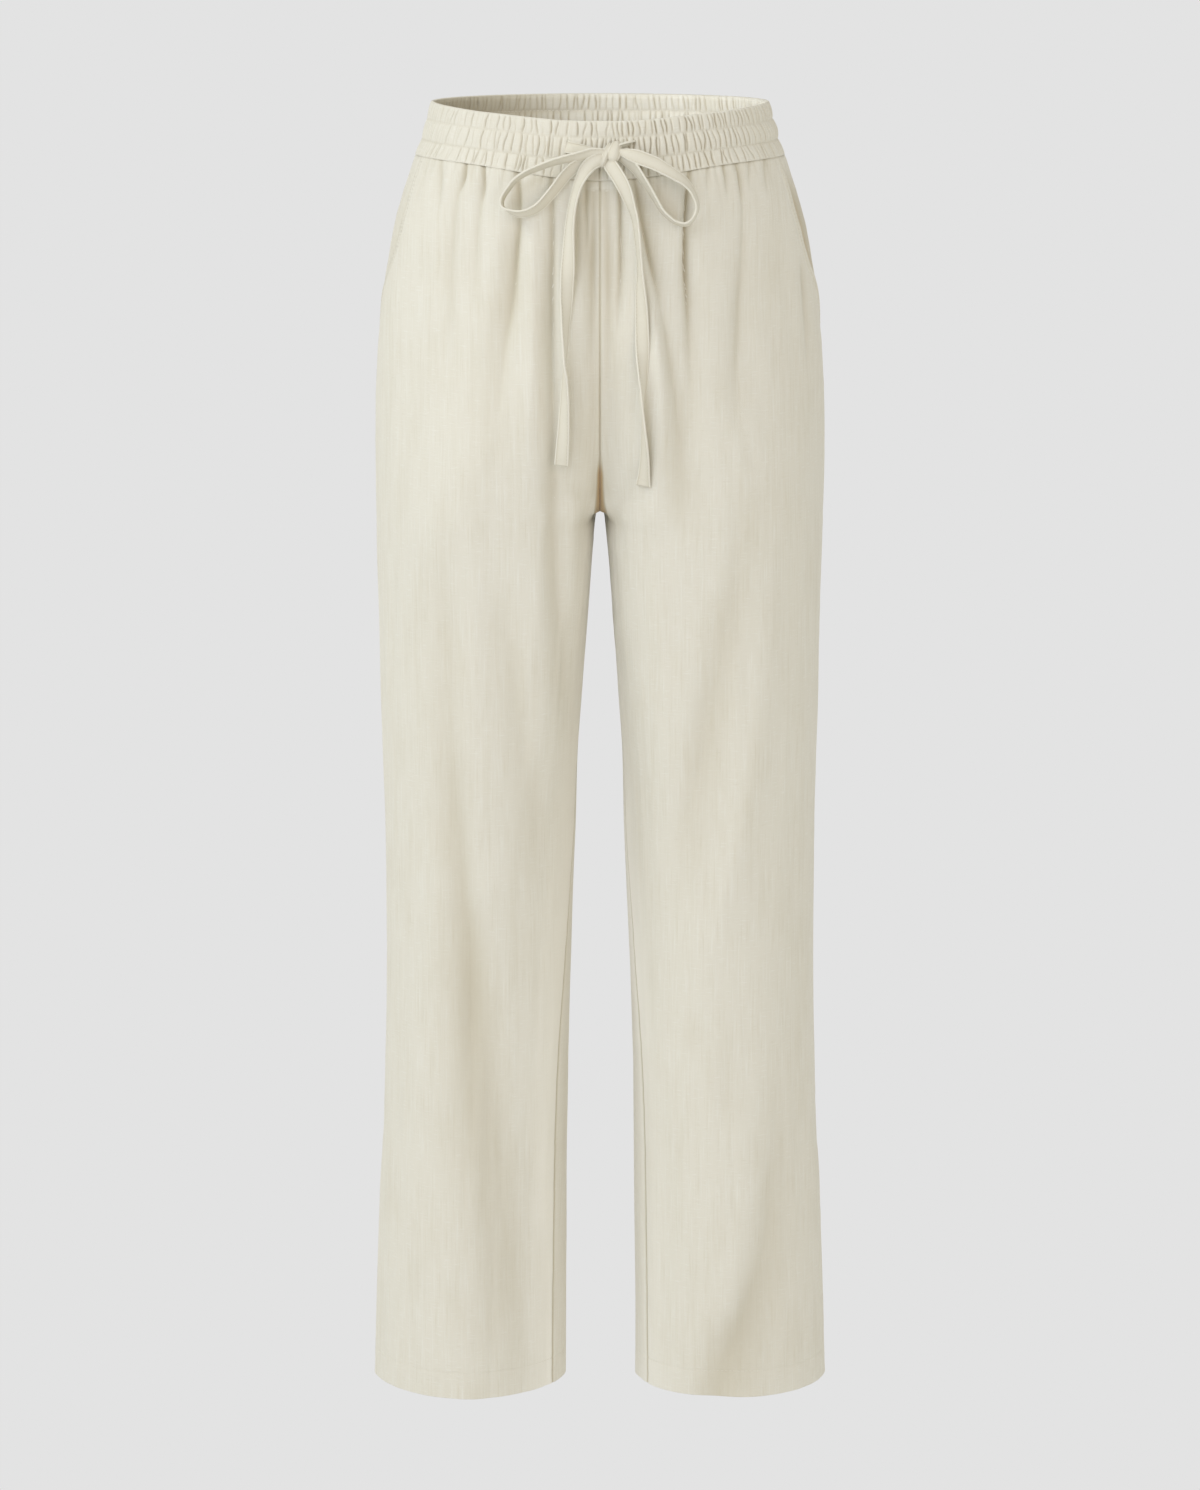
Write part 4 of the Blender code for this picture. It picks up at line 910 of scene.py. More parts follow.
# The panels' inner edge jumps at the fork; the columns beside it follow its mean over these
# steps up and down.
FORK_SPREAD = tuple(range(-36, 37, 4))
FORK_REACH = 0.08           # as a share of the way across the panel
SEAM_ROLL = 0.9             # how far an edge turns in at its seam
SEAM_ROLL_WIDTH = 1.3
# The seams' and the pocket edge's darkening is painted shade.
SEAM_SHADE = 1.2
SIDE_SEAM_SHADE = 0.5
POCKET_EDGE_SHADE = 0.55
POCKET_STITCHES = (1.8, 6.6)    # how far its two stitched lines lie from the pocket's edge
POCKET_LIFT = {"left": 1.0, "right": 0.3}
PAINTED_FORK_SHADE = 1.9            # depth of the warm shade above the fork


def panel_heights():
    """Heights down a panel: close together under the waist and at the hem."""
    heights = []
    for top, bottom, step in PANEL_ROWS:
        heights += list(np.linspace(top, bottom, int(round((top - bottom) / step)), endpoint=False))
    heights += PANEL_FOOT
    if len(heights) % 2 == 0:
        heights.insert(1, (heights[0] + heights[1]) / 2)
    return np.array(heights)


def panel_shares():
    """Places across a panel: even, with more close to its two seams."""
    middle = np.linspace(*PANEL_MIDDLE, PANEL_COLUMNS - 2 * len(PANEL_NEAR_SEAM))
    return np.array([*PANEL_NEAR_SEAM, *middle, *(1 - share for share in PANEL_NEAR_SEAM[::-1])])


def panel_edges(front, heights):
    """The angles of a panel's middle (or inside-leg) edge and of its side edge."""
    swing = np.radians(SWING(heights))
    side = np.full(heights.shape, math.pi / 2)
    if not front:
        return math.pi - first_angle(heights, POWER) + swing, side
    side = np.where(heights > POCKET_END_Z, np.radians(POCKET_ANGLE(heights)), side)
    return first_angle(heights) + swing, side


def folds_pull(x, z, folds):
    """How far the folds pull the cloth in at each x and z, and the painted shade in them."""
    total = np.zeros_like(x)
    shade = np.zeros_like(x)
    upper = smooth_step((z + 330) / 190)
    crisp = smooth_step((z + 190) / 110)
    fall = LOW_FOLD_DEPTH + (FOLD_DEPTH - LOW_FOLD_DEPTH) * upper
    rise = LOW_RIDGE_HEIGHT + (RIDGE_HEIGHT - LOW_RIDGE_HEIGHT) * upper
    for rows in folds:
        line = curve_through(FOLD_COLUMNS, rows, "x")
        depth = curve_through(FOLD_COLUMNS, rows, "depth")
        width = curve_through(FOLD_COLUMNS, rows, "half_width")
        zs = column(FOLD_COLUMNS, rows, "z")
        inside = (z <= max(zs) + 4) & (z >= min(zs))
        deep = depth(z)
        ridge = deep <= 0
        apart = x - line(z)
        outward = apart * np.sign(line(z)) > 0
        reach = width(z) * np.where(ridge, 1.0, np.where(outward, 1.45, 0.85)) * (1.3 - 0.3 * upper)
        valley = bell(apart, reach, np.where(ridge, 1.8, 1.75 - 0.5 * upper))
        core = bell(apart, 0.28 * width(z) + 0.8, 1.6) * (deep > 0)
        valley = valley + 0.08 * core * crisp
        total += np.where(inside, deep * np.where(ridge, rise, fall) * valley, 0)
        tone = (0.5 * valley**1.3 + 0.6 * core * crisp) * (1.15 - 0.15 * upper)
        shade += np.where(inside & ~ridge, deep * tone, 0)
    return total, shade


def small_gathers(piece, degrees, down):
    """Short gathers that run out of the waist seam, over a grid of angles and depths."""
    sign = -1 if piece.endswith("right") else 1
    angles, strength, _, _ = strip_gathers(STRIPS[2])
    side = np.where(angles < 180, angles, angles - 360) * sign
    rng = np.random.default_rng(71 if piece.startswith("front") else 72)
    length = rng.uniform(4, 18, len(angles)) + 14 * (rng.uniform(0, 1, len(angles)) > 0.8)
    total = np.zeros_like(degrees + down)
    for i in range(len(angles)):
        if side[i] < -4:
            continue
        beside = bell((degrees - side[i]) * LAP, 1.1 + 0.09 * down, 1.5)
        total += SMALL_GATHER * strength[i] * beside * bell(down, length[i], 1.5)
    return total


def uneven_cloth(angle, heights, from_edges, down, seed):
    """Soft unevenness of the hanging cloth, held still at its seams."""
    turn = angle / (2 * math.pi)
    broad = soft_noise(turn * 9, heights / 190, seed, 9) * 1.1
    middling = soft_noise(turn * 26, heights / 120, seed + 1, 26) * 0.75
    fine = soft_noise(turn * 70, heights / 60, seed + 2, 70) * 0.3
    return (broad + middling + fine) * smooth_step(from_edges / 14) * smooth_step(down / 30 + 0.15)


def seam_turns(from_middle, from_side, low, pocket_edge):
    """How far the edges turn in at their seams, and the painted shade along the seams."""
    middle = bell(from_middle, SEAM_ROLL_WIDTH, 1.5) * (0.5 + 0.5 * low)
    side = np.where(pocket_edge, 0, bell(from_side, SEAM_ROLL_WIDTH, 1.5))
    shade = SEAM_SHADE * bell(from_middle, 0.8 + 0.3 * low)
    shade = shade + np.where(pocket_edge, POCKET_EDGE_SHADE, SIDE_SEAM_SHADE) * bell(from_side, 0.8)
    return (middle + side) * SEAM_ROLL, shade


def pocket_mouth(piece, heights, from_side):
    """How far the pocket's edge stands off, and the shade of its two stitched lines."""
    mouth = smooth_step((-20 - heights) / 12) * smooth_step((heights + 147) / 24)
    mouth = mouth * POCKET_LIFT[piece.split("_")[1]]
    hem = 1 - smooth_step((from_side - POCKET_STITCHES[1]) / 2.4)
    lines = sum(bell(from_side - place, 0.7) for place in POCKET_STITCHES)
    lift = 0.9 * hem + 0.5 * bell(from_side, 16) - 0.4 * lines - 0.5 * bell(from_side, 0.8)
    return mouth * lift, mouth * 0.7 * lines


def painted_fork_shade(x, z):
    """Painted warm shade along the middle seam just above the fork."""
    spread = 1.5 + 1.1 * smooth_step((-240 - z) / 20)
    strip = PAINTED_FORK_SHADE * smooth_step((-236 - z) / 22) * bell(x, spread, 5)
    return np.where(z > FORK_Z - 0.5, strip, 0)


def painted_light_inside_leg(piece, z, from_middle):
    """Painted light beside the inside leg's seam, where the cloth would be in shade; on the front also
    just below the fork.
    """
    row = PAINTED_LIGHT_BY_PIECE[piece]
    lower = smooth_step((-640 - z) / 200)
    painted_light = row.amount * smooth_step((-300 - z) / 60) * (1 - row.fade * lower)
    if piece.startswith("front"):
        painted_light_by_fork = smooth_step((-268 - z) / 20) * (1 - smooth_step((-340 - z) / 90))
        painted_light = np.maximum(painted_light, painted_light_by_fork)
    return painted_light * bell(from_middle, row.reach)


def cloth_out(piece, angle, heights, from_middle, from_side):
    """How far the finished cloth stands out from the frame's section, and its painted shade, with
    painted light beside the inside leg as values below zero.
    """
    front = piece.startswith("front")
    sign = -1 if piece.endswith("right") else 1
    seed = 20 if sign > 0 else 40
    base = section_point(angle, heights)
    x, z = base[..., 0] * sign, base[..., 2]
    down = WAIST_SEAM_Z - heights
    low = smooth_step((-299 - heights) / 60)
    from_edges = np.minimum(from_middle, from_side)
    pull, shade = folds_pull(x, z, FRONT_FOLDS if front else BACK_FOLDS)
    pull = pull * smooth_step(from_side / 7) * (0.5 + 0.5 * smooth_step(down / 13))
    pull = pull * np.where(heights < FORK_Z, smooth_step(from_middle / 9), 1)
    shade = shade * (1 + np.clip(1 - down / 28, 0, 1))
    pocket_edge = (heights > POCKET_END_Z) & front
    seam, seam_shade = seam_turns(from_middle, from_side, low, pocket_edge)
    drawn_in = firmness(angle * sign)
    tuck = 0.25 * drawn_in * bell(np.maximum(down, 0), 1.2, 1.3)
    pucker = 0.22 * soft_noise(heights / 9, 0 * heights, seed + 3) * bell(from_edges - 3, 3.5)
    hem_line = 0.28 * bell(heights - HEM_Z - HEM_HEIGHT, 1.1)
    gathers = small_gathers(piece, np.degrees(angle), np.maximum(down, 0))
    uneven = uneven_cloth(angle, heights, from_edges, down, seed)
    out = uneven - pull - seam - tuck + pucker - hem_line - gathers
    # Painted shade along the waist seam, under the band's foot.
    painted_shade_under_band = 0.4 * drawn_in * bell(down, 0.8)
    shade = np.clip(shade / FOLD_SHADE + gathers / GATHER_SHADE + seam_shade + painted_shade_under_band, 0, 1)
    if front:
        lift, stitch_shade = pocket_mouth(piece, heights, from_side)
        out = out + lift
        shade = np.maximum(np.maximum(shade, painted_fork_shade(x, z)), stitch_shade)
    painted_light = painted_light_inside_leg(piece, z, from_middle) * (1 - np.clip(shade, 0, 1))
    return out, shade - painted_light


def panel_angles(front, heights, shares):
    """The angle of each point of a panel, and how far it lies from its two edges."""
    start, end = panel_edges(front, heights)
    reach = half_centre(heights)[1]
    trim = np.sign(end - start) * SEAM_GAP / reach
    first = (start + np.where(heights < FORK_Z + 1, trim, 0))[:, None]
    last = (end - trim)[:, None]
    even = sum(panel_edges(front, heights + step)[0] for step in FORK_SPREAD) / len(FORK_SPREAD)
    even = even[:, None]
    near = np.exp(-shares[None, :] / FORK_REACH) * (1 - shares[None, :])
    angle = even + shares[None, :] * (last - even) + (first - even) * near
    return angle, np.abs(angle - first) * reach[:, None], np.abs(last - angle) * reach[:, None]


def panel_grid(piece, heights, shares):
    """The outside of a panel, and for each point the way that its wall goes in."""
    angle, from_middle, from_side = panel_angles(piece.startswith("front"), heights, shares)
    height = heights[:, None] + 0 * angle
    out, shade = cloth_out(piece, angle, height, from_middle, from_side)
    points = section_point(angle, height, out)
    to_middle = np.where(heights >= FORK_Z, points[:, 0, 0] - SEAM_GAP, 0)[:, None]
    points[..., 0] -= to_middle * np.exp(-from_middle / 14)
    return points, way_out(angle, height), section_point(angle, height), height, shade


def from_grain(base):
    """How far round each point lies from the straight thread down the middle of the leg."""
    steps = np.linalg.norm(np.diff(base, axis=1), axis=-1)
    across = np.concatenate([np.zeros((len(base), 1)), np.cumsum(steps, axis=1)], axis=1)
    plumb = [np.interp(GRAIN_X, row, places) for row, places in zip(base[..., 0], across)]
    return across - np.array(plumb)[:, None]


def make_panel(piece):
    """One leg panel: front or back, left or right."""
    heights = panel_heights()
    shares = panel_shares()
    outside, normal, base, height, shade = panel_grid(piece, heights, shares)
    wall = np.where(height < HEM_Z + HEM_HEIGHT - 0.5, HEM_WALL, CLOTH_WALL)[..., None]
    inner = outside - normal * wall
    for edge in (0, -1):
        inner[edge, :, 2] = outside[edge, :, 2]
    outside[..., 0] = np.maximum(outside[..., 0], SEAM_GAP)
    inner[..., 0] = np.maximum(inner[..., 0], SEAM_GAP)
    places = on_grid(from_grain(base) + PANELS.index(piece) * CLOTH_APART, height)
    return make_shell(piece + "_cloth", outside, inner[::2, ::2], places, places[::2, ::2],
                      False, piece.endswith("right"), (shade, 0 * shade[::2, ::2]))


panels = {piece: make_panel(piece) for piece in PANELS}

# ---------------------------------------------------------------- pocket facings

FACING_TOP = -17.1
FACING_BOTTOM = -160.0
FACING_LAP = 9              # how far it runs on behind the front
FACING_WALL = 0.8
FACING_SUNK = 0.5
FACING_GAPE = 2.4           # how far the mouth gapes
FACING_SHADE = {"left": 1.0, "right": 0.2}


def make_facing(side):
    """The pocket facing that shows behind the slanted mouth, just inside the front."""
    heights = np.linspace(FACING_TOP, FACING_BOTTOM, 61)
    shares = np.linspace(0, 1, 21)
    reach = half_centre(heights)[1]
    start = (np.radians(POCKET_ANGLE(heights)) - FACING_LAP / reach)[:, None]
    end = np.full_like(start, math.pi / 2) - (0.4 / reach)[:, None]
    angle = start + shares[None, :] * (end - start)
    height = heights[:, None] + 0 * angle
    to_side = (end - angle) * reach[:, None]
    past_mouth = (angle - start) * reach[:, None] - FACING_LAP
    gape = smooth_step((-18 - height) / 40) * smooth_step((height + 150) / 50)
    sunk = FACING_SUNK + (0.2 + FACING_GAPE * gape) * bell(past_mouth, 7) * smooth_step(to_side / 9)
    uneven = 0.35 * soft_noise(shares[None, :] * 3, height / 30, 91)
    outside = section_point(angle, height, uneven - sunk)
    inside = outside - way_out(angle, height) * FACING_WALL
    places = on_grid(to_side + len(PANELS) * CLOTH_APART, height)
    # Painted shadow inside the gaping pocket mouth, darkest next to the front's edge.
    shade = FACING_SHADE[side] * gape * (0.75 + 0.6 * bell(past_mouth, 19))
    return make_shell("pocket_facing_" + side + "_cloth", outside, inside[::2, ::2], places,
                      places[::2, ::2], False, side == "right", (shade, 0 * shade[::2, ::2]))


facings = {side: make_facing(side) for side in ("left", "right")}

# ---------------------------------------------------------------- sewing

THREAD_RADIUS = 0.17
TAPE_THREAD_RADIUS = 0.13
THREAD_LIFT = 0.1
STITCHES = {                # length of a stitch, and the gap to the next
    "band": (2.3, 0.8),
    "hem": (2.4, 0.9),
    "pocket": (2.2, 0.9),
    "tape": (2.0, 0.8),
    "tape end": (1.8, 0.6),
}
TAPE_SEWN = 4.0             # the tape's stitched lines, from its middle
TAPE_END_SEWN = 4.6
TAPE_FACE_OUT = 0.6
STITCH_SIDES = 5
# Each ring of a stitch: its place along it, its thickness, and how far it is lifted.
STITCH_RINGS = ((-0.5, 0.15, -0.5), (-0.42, 0.8, 0.1), (-0.2, 1.0, 0.55), (0.2, 1.0, 0.55),
                (0.42, 0.8, 0.1), (0.5, 0.15, -0.5))


def stitches_along(path, outward, length, gap):
    """Middle, direction and way out of each stitch along a line on the cloth."""
    run = np.concatenate([[0], np.cumsum(np.linalg.norm(np.diff(path, axis=0), axis=1))])
    rows = []
    at = gap
    while at + length < run[-1]:
        ends = [np.array([np.interp(s, run, path[:, i]) for i in range(3)]) for s in (at, at + length)]
        out = np.array([np.interp(at + length / 2, run, outward[:, i]) for i in range(3)])
        rows.append((ends[0], ends[1], out))
        at += length + gap
    return rows


def stitch_parts(rows, radius=THREAD_RADIUS):
    """Points and faces of many stitches: short lengths of thread that dip at both ends."""
    starts = np.array([row[0] for row in rows])
    ends = np.array([row[1] for row in rows])
    out = unit(np.array([row[2] for row in rows]))
    along = ends - starts
    across = unit(np.cross(along, out))
    out = unit(np.cross(across, along))
    turns = np.linspace(0, 2 * math.pi, STITCH_SIDES, endpoint=False)
    rings = []
    for place, thick, lift in STITCH_RINGS:
        centre = (starts + ends) / 2 + along * place + out * lift * radius
        for turn in turns:
            rings.append(centre + (across * math.cos(turn) + out * math.sin(turn)) * radius * thick)
    count = len(STITCH_RINGS) * STITCH_SIDES
    points = np.stack(rings, axis=1).reshape(-1, 3)
    faces = []
    one = grid_quads(len(STITCH_RINGS), STITCH_SIDES, 0, True)
    one.append(tuple(range(STITCH_SIDES)))
    one.append(tuple(range(count - 1, count - 1 - STITCH_SIDES, -1)))
    for i in range(len(rows)):
        faces += [tuple(i * count + j for j in face) for face in one]
    places = np.zeros((len(points), 2))
    places[:, 0] = np.tile(np.repeat([r[0] for r in STITCH_RINGS], STITCH_SIDES), len(rows)) * 3
    places[:, 1] = np.repeat(np.arange(len(rows)), count) * 1.7
    return points, faces, places


def mirrored(rows):
    """The same stitches on the wearer's right."""
    flip = np.array((-1.0, 1.0, 1.0))
    return [(a * flip, b * flip, c * flip) for a, b, c in rows]


def groove_stitches(height, inside):
    """The stitched line round the band at one groove."""
    degrees = np.linspace(0, 360, 2400)
    angle = np.radians(degrees)
    relief = band_relief(degrees, np.array([height]))[0][0]
    puff = band_puff(np.array([height]))
    if inside:
        out = -BAND_INSET - INSIDE_PUFF * puff + INSIDE_RELIEF * relief - THREAD_LIFT
    else:
        out = BAND_LIFT + puff * firmness(angle) - relief + THREAD_LIFT
    path = waist_point(angle, np.full(angle.shape, height), out)
    outward = unit(path * (1, 1, 0)) * (-1 if inside else 1)
    return stitches_along(path, outward, *STITCHES["band"])


def panel_line(piece, angles, heights, lift):
    """A line of points on a panel's finished outside, and the ways out of the cloth."""
    start, end = panel_edges(piece.startswith("front"), heights)
    reach = half_centre(heights)[1]
    from_middle, from_side = np.abs(angles - start) * reach, np.abs(end - angles) * reach
    out, _ = cloth_out(piece, angles, heights, from_middle, from_side)
    outward = way_out(angles, heights)
    return section_point(angles, heights, out) + outward * lift, outward


def make_sewing():
    """All the thread that shows, in one object a place."""
    band = []
    for groove in GROOVES:
        band += groove_stitches(groove, False) + groove_stitches(groove, True)
    made = {"waistband_stitching": stitch_parts(band)}
    hems, pockets = [], []
    for piece in PANELS:
        front = piece.startswith("front")
        flip = piece.endswith("right")
        height = np.full(400, HEM_Z + HEM_HEIGHT)
        start, end = panel_edges(front, height)
        angles = start + np.linspace(0.004, 0.996, 400) * (end - start)
        path, outward = panel_line(piece, angles, height, 0.05)
        rows = stitches_along(path, outward, *STITCHES["hem"])
        hems += mirrored(rows) if flip else rows
        if front:
            heights = np.linspace(-19, -150, 300)
            reach = half_centre(heights)[1]
            for inset in POCKET_STITCHES:
                edge = np.radians(POCKET_ANGLE(heights)) - inset / reach
                path, outward = panel_line(piece, edge, heights, 0.08)
                rows = stitches_along(path, outward, *STITCHES["pocket"])
                pockets += mirrored(rows) if flip else rows
    made["hem_stitching"] = stitch_parts(hems)
    made["pocket_stitching"] = stitch_parts(pockets)
    return {name: join_parts(name, [parts]) for name, parts in made.items()}


sewing = make_sewing()


def tape_stitches(tables):
    """The stitched edge of the tape on both faces, and the line across its end."""
    rows = []
    for number, table in enumerate(tables):
        line, _ = tape_line(table)
        middles, tilts = line[:, :3], line[:, 3]
        width, curl = line[:, 4, None], line[:, 5, None]
        _, wide, thick = tape_frames(middles, tilts)
        for face in (-1, 1):
            bent = thick * (face * TAPE_FACE_OUT - curl * 0.53)
            path = middles + wide * TAPE_SEWN * width / TAPE_WIDTH + bent
            rows += stitches_along(path, thick * face, *STITCHES["tape"])
        if number == len(tables) - 1:
            for face in (-1, 1):
                across = np.linspace(-TAPE_END_SEWN, TAPE_END_SEWN, 30)[:, None]
                path = middles[-5] + wide[-5] * across + thick[-5] * face * TAPE_FACE_OUT
                outward = np.repeat(thick[-5:-4] * face, 30, axis=0)
                rows += stitches_along(path, outward, *STITCHES["tape end"])
    return rows


SEWN_TAPE = {"left": (LOOP_LEFT, TAIL_LEFT), "right": (LOOP_RIGHT, TAIL_RIGHT)}
tape_sewing = {}
for side, tables in SEWN_TAPE.items():
    thread = stitch_parts(tape_stitches(tables), TAPE_THREAD_RADIUS)
    tape_sewing[side] = join_parts("drawstring_" + side + "_stitching", [thread])

# ---------------------------------------------------------------- finishes

LINEN = (0.760, 0.730, 0.645)
LINEN_LIGHT = (0.800, 0.782, 0.712)
LINEN_DARK = (0.690, 0.650, 0.545)
# Painted shade in creases, seams and hollows, a deeper warm painted shade above the fork, and painted
# light beside the inside leg.
LINEN_PAINTED_SHADE = (0.560, 0.505, 0.385)
LINEN_PAINTED_DEEP_SHADE = (0.500, 0.350, 0.180)
LINEN_PAINTED_LIGHT = (0.940, 0.915, 0.845)
TAPE = (0.775, 0.745, 0.655)
TONES = {
    "Cloth Colour": LINEN,
    "Light Thread": LINEN_LIGHT,
    "Dark Thread": LINEN_DARK,
    "Painted Shade Colour": LINEN_PAINTED_SHADE,
    "Painted Deep Shade Colour": LINEN_PAINTED_DEEP_SHADE,
    "Painted Light Colour": LINEN_PAINTED_LIGHT,
}
PAINTED_SHADE_AMOUNT = 0.85
THREAD_PITCH = 0.0007
BUMP_HEIGHT = 0.0004
ROUGHNESS = 0.85
SHEEN = 0.25
SHEEN_TINT = (0.98, 0.97, 0.93)


def add(tree, kind, **settings):
    """A node with its properties set."""
    node = tree.nodes.new(kind)
    for name, value in settings.items():
        setattr(node, name, value)
    return node


def maths(tree, operation, first, second=None):
    """A Math node's output; the inputs are sockets or numbers."""
    node = add(tree, "ShaderNodeMath", operation=operation)
    for i, value in enumerate((first, second)):
        if value is None:
            continue
        if isinstance(value, (int, float)):
            node.inputs[i].default_value = value
        else:
            tree.links.new(value, node.inputs[i])
    return node.outputs[0]


def held_between(tree, value, low, high):
    """A value kept from going below low or above high."""
    return maths(tree, "MINIMUM", maths(tree, "MAXIMUM", value, low), high)


def mix_colour(tree, share, first, second):
    """A colour between two others; each is a socket or a colour."""
    node = add(tree, "ShaderNodeMix", data_type="RGBA")
    for socket, value in ((node.inputs[0], share), (node.inputs[6], first), (node.inputs[7], second)):
        if isinstance(value, bpy.types.NodeSocket):
            tree.links.new(value, socket)
        elif isinstance(value, tuple):
            socket.default_value = (*value, 1.0)
        else:
            socket.default_value = value
    return node.outputs[2]


def streaks(tree, place, across, along, detail):
    """Noise stretched over the cloth: across and along are knots a metre."""
    scale = add(tree, "ShaderNodeVectorMath", operation="MULTIPLY")
    scale.inputs[1].default_value = (across, along, 1.0)
    tree.links.new(place, scale.inputs[0])
    noise = add(tree, "ShaderNodeTexNoise", noise_dimensions="2D")
    noise.inputs["Scale"].default_value = 1.0
    noise.inputs["Detail"].default_value = detail
    noise.inputs["Roughness"].default_value = 0.55
    tree.links.new(scale.outputs[0], noise.inputs["Vector"])
    return noise.outputs["Fac"]


def make_weave_group():
    """Plain linen weave: threads both ways, slubs, and patches of a warmer tone, with painted shade and
    painted light mixed in from the mesh's attribute.
    """
    tree = bpy.data.node_groups.new("linen weave", "ShaderNodeTree")
    for name, tone in TONES.items():
        socket = tree.interface.new_socket(name=name, in_out="INPUT", socket_type="NodeSocketColor")
        socket.default_value = (*tone, 1)
    for name, value in (("Thread Pitch", THREAD_PITCH), ("Slub Amount", 0.5)):
        socket = tree.interface.new_socket(name=name, in_out="INPUT", socket_type="NodeSocketFloat")
        socket.default_value = value
    tree.interface.new_socket(name="Colour", in_out="OUTPUT", socket_type="NodeSocketColor")
    tree.interface.new_socket(name="Height", in_out="OUTPUT", socket_type="NodeSocketFloat")
    inputs = add(tree, "NodeGroupInput").outputs
    outputs = add(tree, "NodeGroupOutput").inputs
    place = add(tree, "ShaderNodeUVMap", uv_map="cloth").outputs[0]
    split = add(tree, "ShaderNodeSeparateXYZ")
    tree.links.new(place, split.inputs[0])
    turn = maths(tree, "DIVIDE", 2 * math.pi, inputs["Thread Pitch"])
    warp = maths(tree, "SINE", maths(tree, "MULTIPLY", split.outputs[0], turn))
    weft = maths(tree, "SINE", maths(tree, "MULTIPLY", split.outputs[1], turn))
    weave = maths(tree, "MULTIPLY", warp, weft)
    warp_slub = streaks(tree, place, 640, 28, 2.0)
    weft_slub = streaks(tree, place, 110, 760, 1.0)
    long_streak = streaks(tree, place, 190, 9, 3.0)
    patches = streaks(tree, place, 34, 13, 3.0)
    slubs = maths(tree, "MAXIMUM", warp_slub, maths(tree, "SUBTRACT", weft_slub, 0.04))
    light = maths(tree, "MULTIPLY", maths(tree, "SUBTRACT", slubs, 0.56), 4.0)
    light = maths(tree, "MULTIPLY", light, inputs["Slub Amount"])
    thin = maths(tree, "MINIMUM", warp_slub, maths(tree, "ADD", weft_slub, 0.1))
    dark = maths(tree, "MULTIPLY", maths(tree, "SUBTRACT", 0.43, thin), 2.5)
    dark = maths(tree, "MAXIMUM", dark, 0.0)
    for noise, amount in ((long_streak, 1.0), (patches, 1.2)):
        more = maths(tree, "MULTIPLY", maths(tree, "SUBTRACT", 0.52, noise), amount)
        dark = maths(tree, "ADD", dark, more)
    dark = maths(tree, "MULTIPLY", dark, inputs["Slub Amount"])
    # Painted shade from the mesh attribute: up to 1 towards the painted crease shade, over 1 towards a
    # deep warm painted shade, and below 0 towards a paler painted light.
    painted_light_and_shade = add(tree, "ShaderNodeAttribute", attribute_name="painted_light_and_shade").outputs["Fac"]
    painted_light = maths(tree, "MAXIMUM", maths(tree, "MULTIPLY", painted_light_and_shade, -1.0), 0.0)
    painted_shade_share = maths(tree, "MULTIPLY", held_between(tree, painted_light_and_shade, 0.0, 1.0), PAINTED_SHADE_AMOUNT)
    deep = maths(tree, "MAXIMUM", maths(tree, "SUBTRACT", painted_light_and_shade, 1.0), 0.0)
    colour = inputs["Cloth Colour"]
    for share, tone in (
        (held_between(tree, light, 0.0, 1.0), "Light Thread"),
        (held_between(tree, dark, 0.0, 1.0), "Dark Thread"),
        (painted_light, "Painted Light Colour"),
        (painted_shade_share, "Painted Shade Colour"),
        (deep, "Painted Deep Shade Colour"),
    ):
        colour = mix_colour(tree, share, colour, inputs[tone])
    height = maths(tree, "ADD", maths(tree, "MULTIPLY", weave, 0.2), maths(tree, "MULTIPLY", slubs, 0.7))
    tree.links.new(colour, outputs["Colour"])
    tree.links.new(height, outputs["Height"])
    return tree


WEAVE = make_weave_group()


def linen_finish(name, colour, slub, bump):
    """A linen material: the weave group, its own values, and a soft rough shader."""
    material = bpy.data.materials.new(name)
    material.use_nodes = True
    tree = material.node_tree
    shader = tree.nodes["Principled BSDF"]
    weave = add(tree, "ShaderNodeGroup", node_tree=WEAVE)
    for tone, value in {**TONES, "Cloth Colour": colour}.items():
        weave.inputs[tone].default_value = (*value, 1)
    weave.inputs["Slub Amount"].default_value = slub
    relief = add(tree, "ShaderNodeBump")
    relief.inputs["Strength"].default_value = bump
    relief.inputs["Distance"].default_value = BUMP_HEIGHT
    tree.links.new(weave.outputs["Height"], relief.inputs["Height"])
    tree.links.new(weave.outputs["Colour"], shader.inputs["Base Color"])
    tree.links.new(relief.outputs["Normal"], shader.inputs["Normal"])
    shader.inputs["Roughness"].default_value = ROUGHNESS
    shader.inputs["Specular IOR Level"].default_value = 0.25
    shader.inputs["Sheen Weight"].default_value = SHEEN
    shader.inputs["Sheen Roughness"].default_value = 0.5
    shader.inputs["Sheen Tint"].default_value = (*SHEEN_TINT, 1)
    return material


cloth_finish = linen_finish("washed linen", LINEN, 0.9, 0.6)
tape_finish = linen_finish("linen tape", TAPE, 0.3, 0.4)
thread_finish = linen_finish("sewing thread", LINEN, 0.3, 0.1)

# ---------------------------------------------------------------- riding

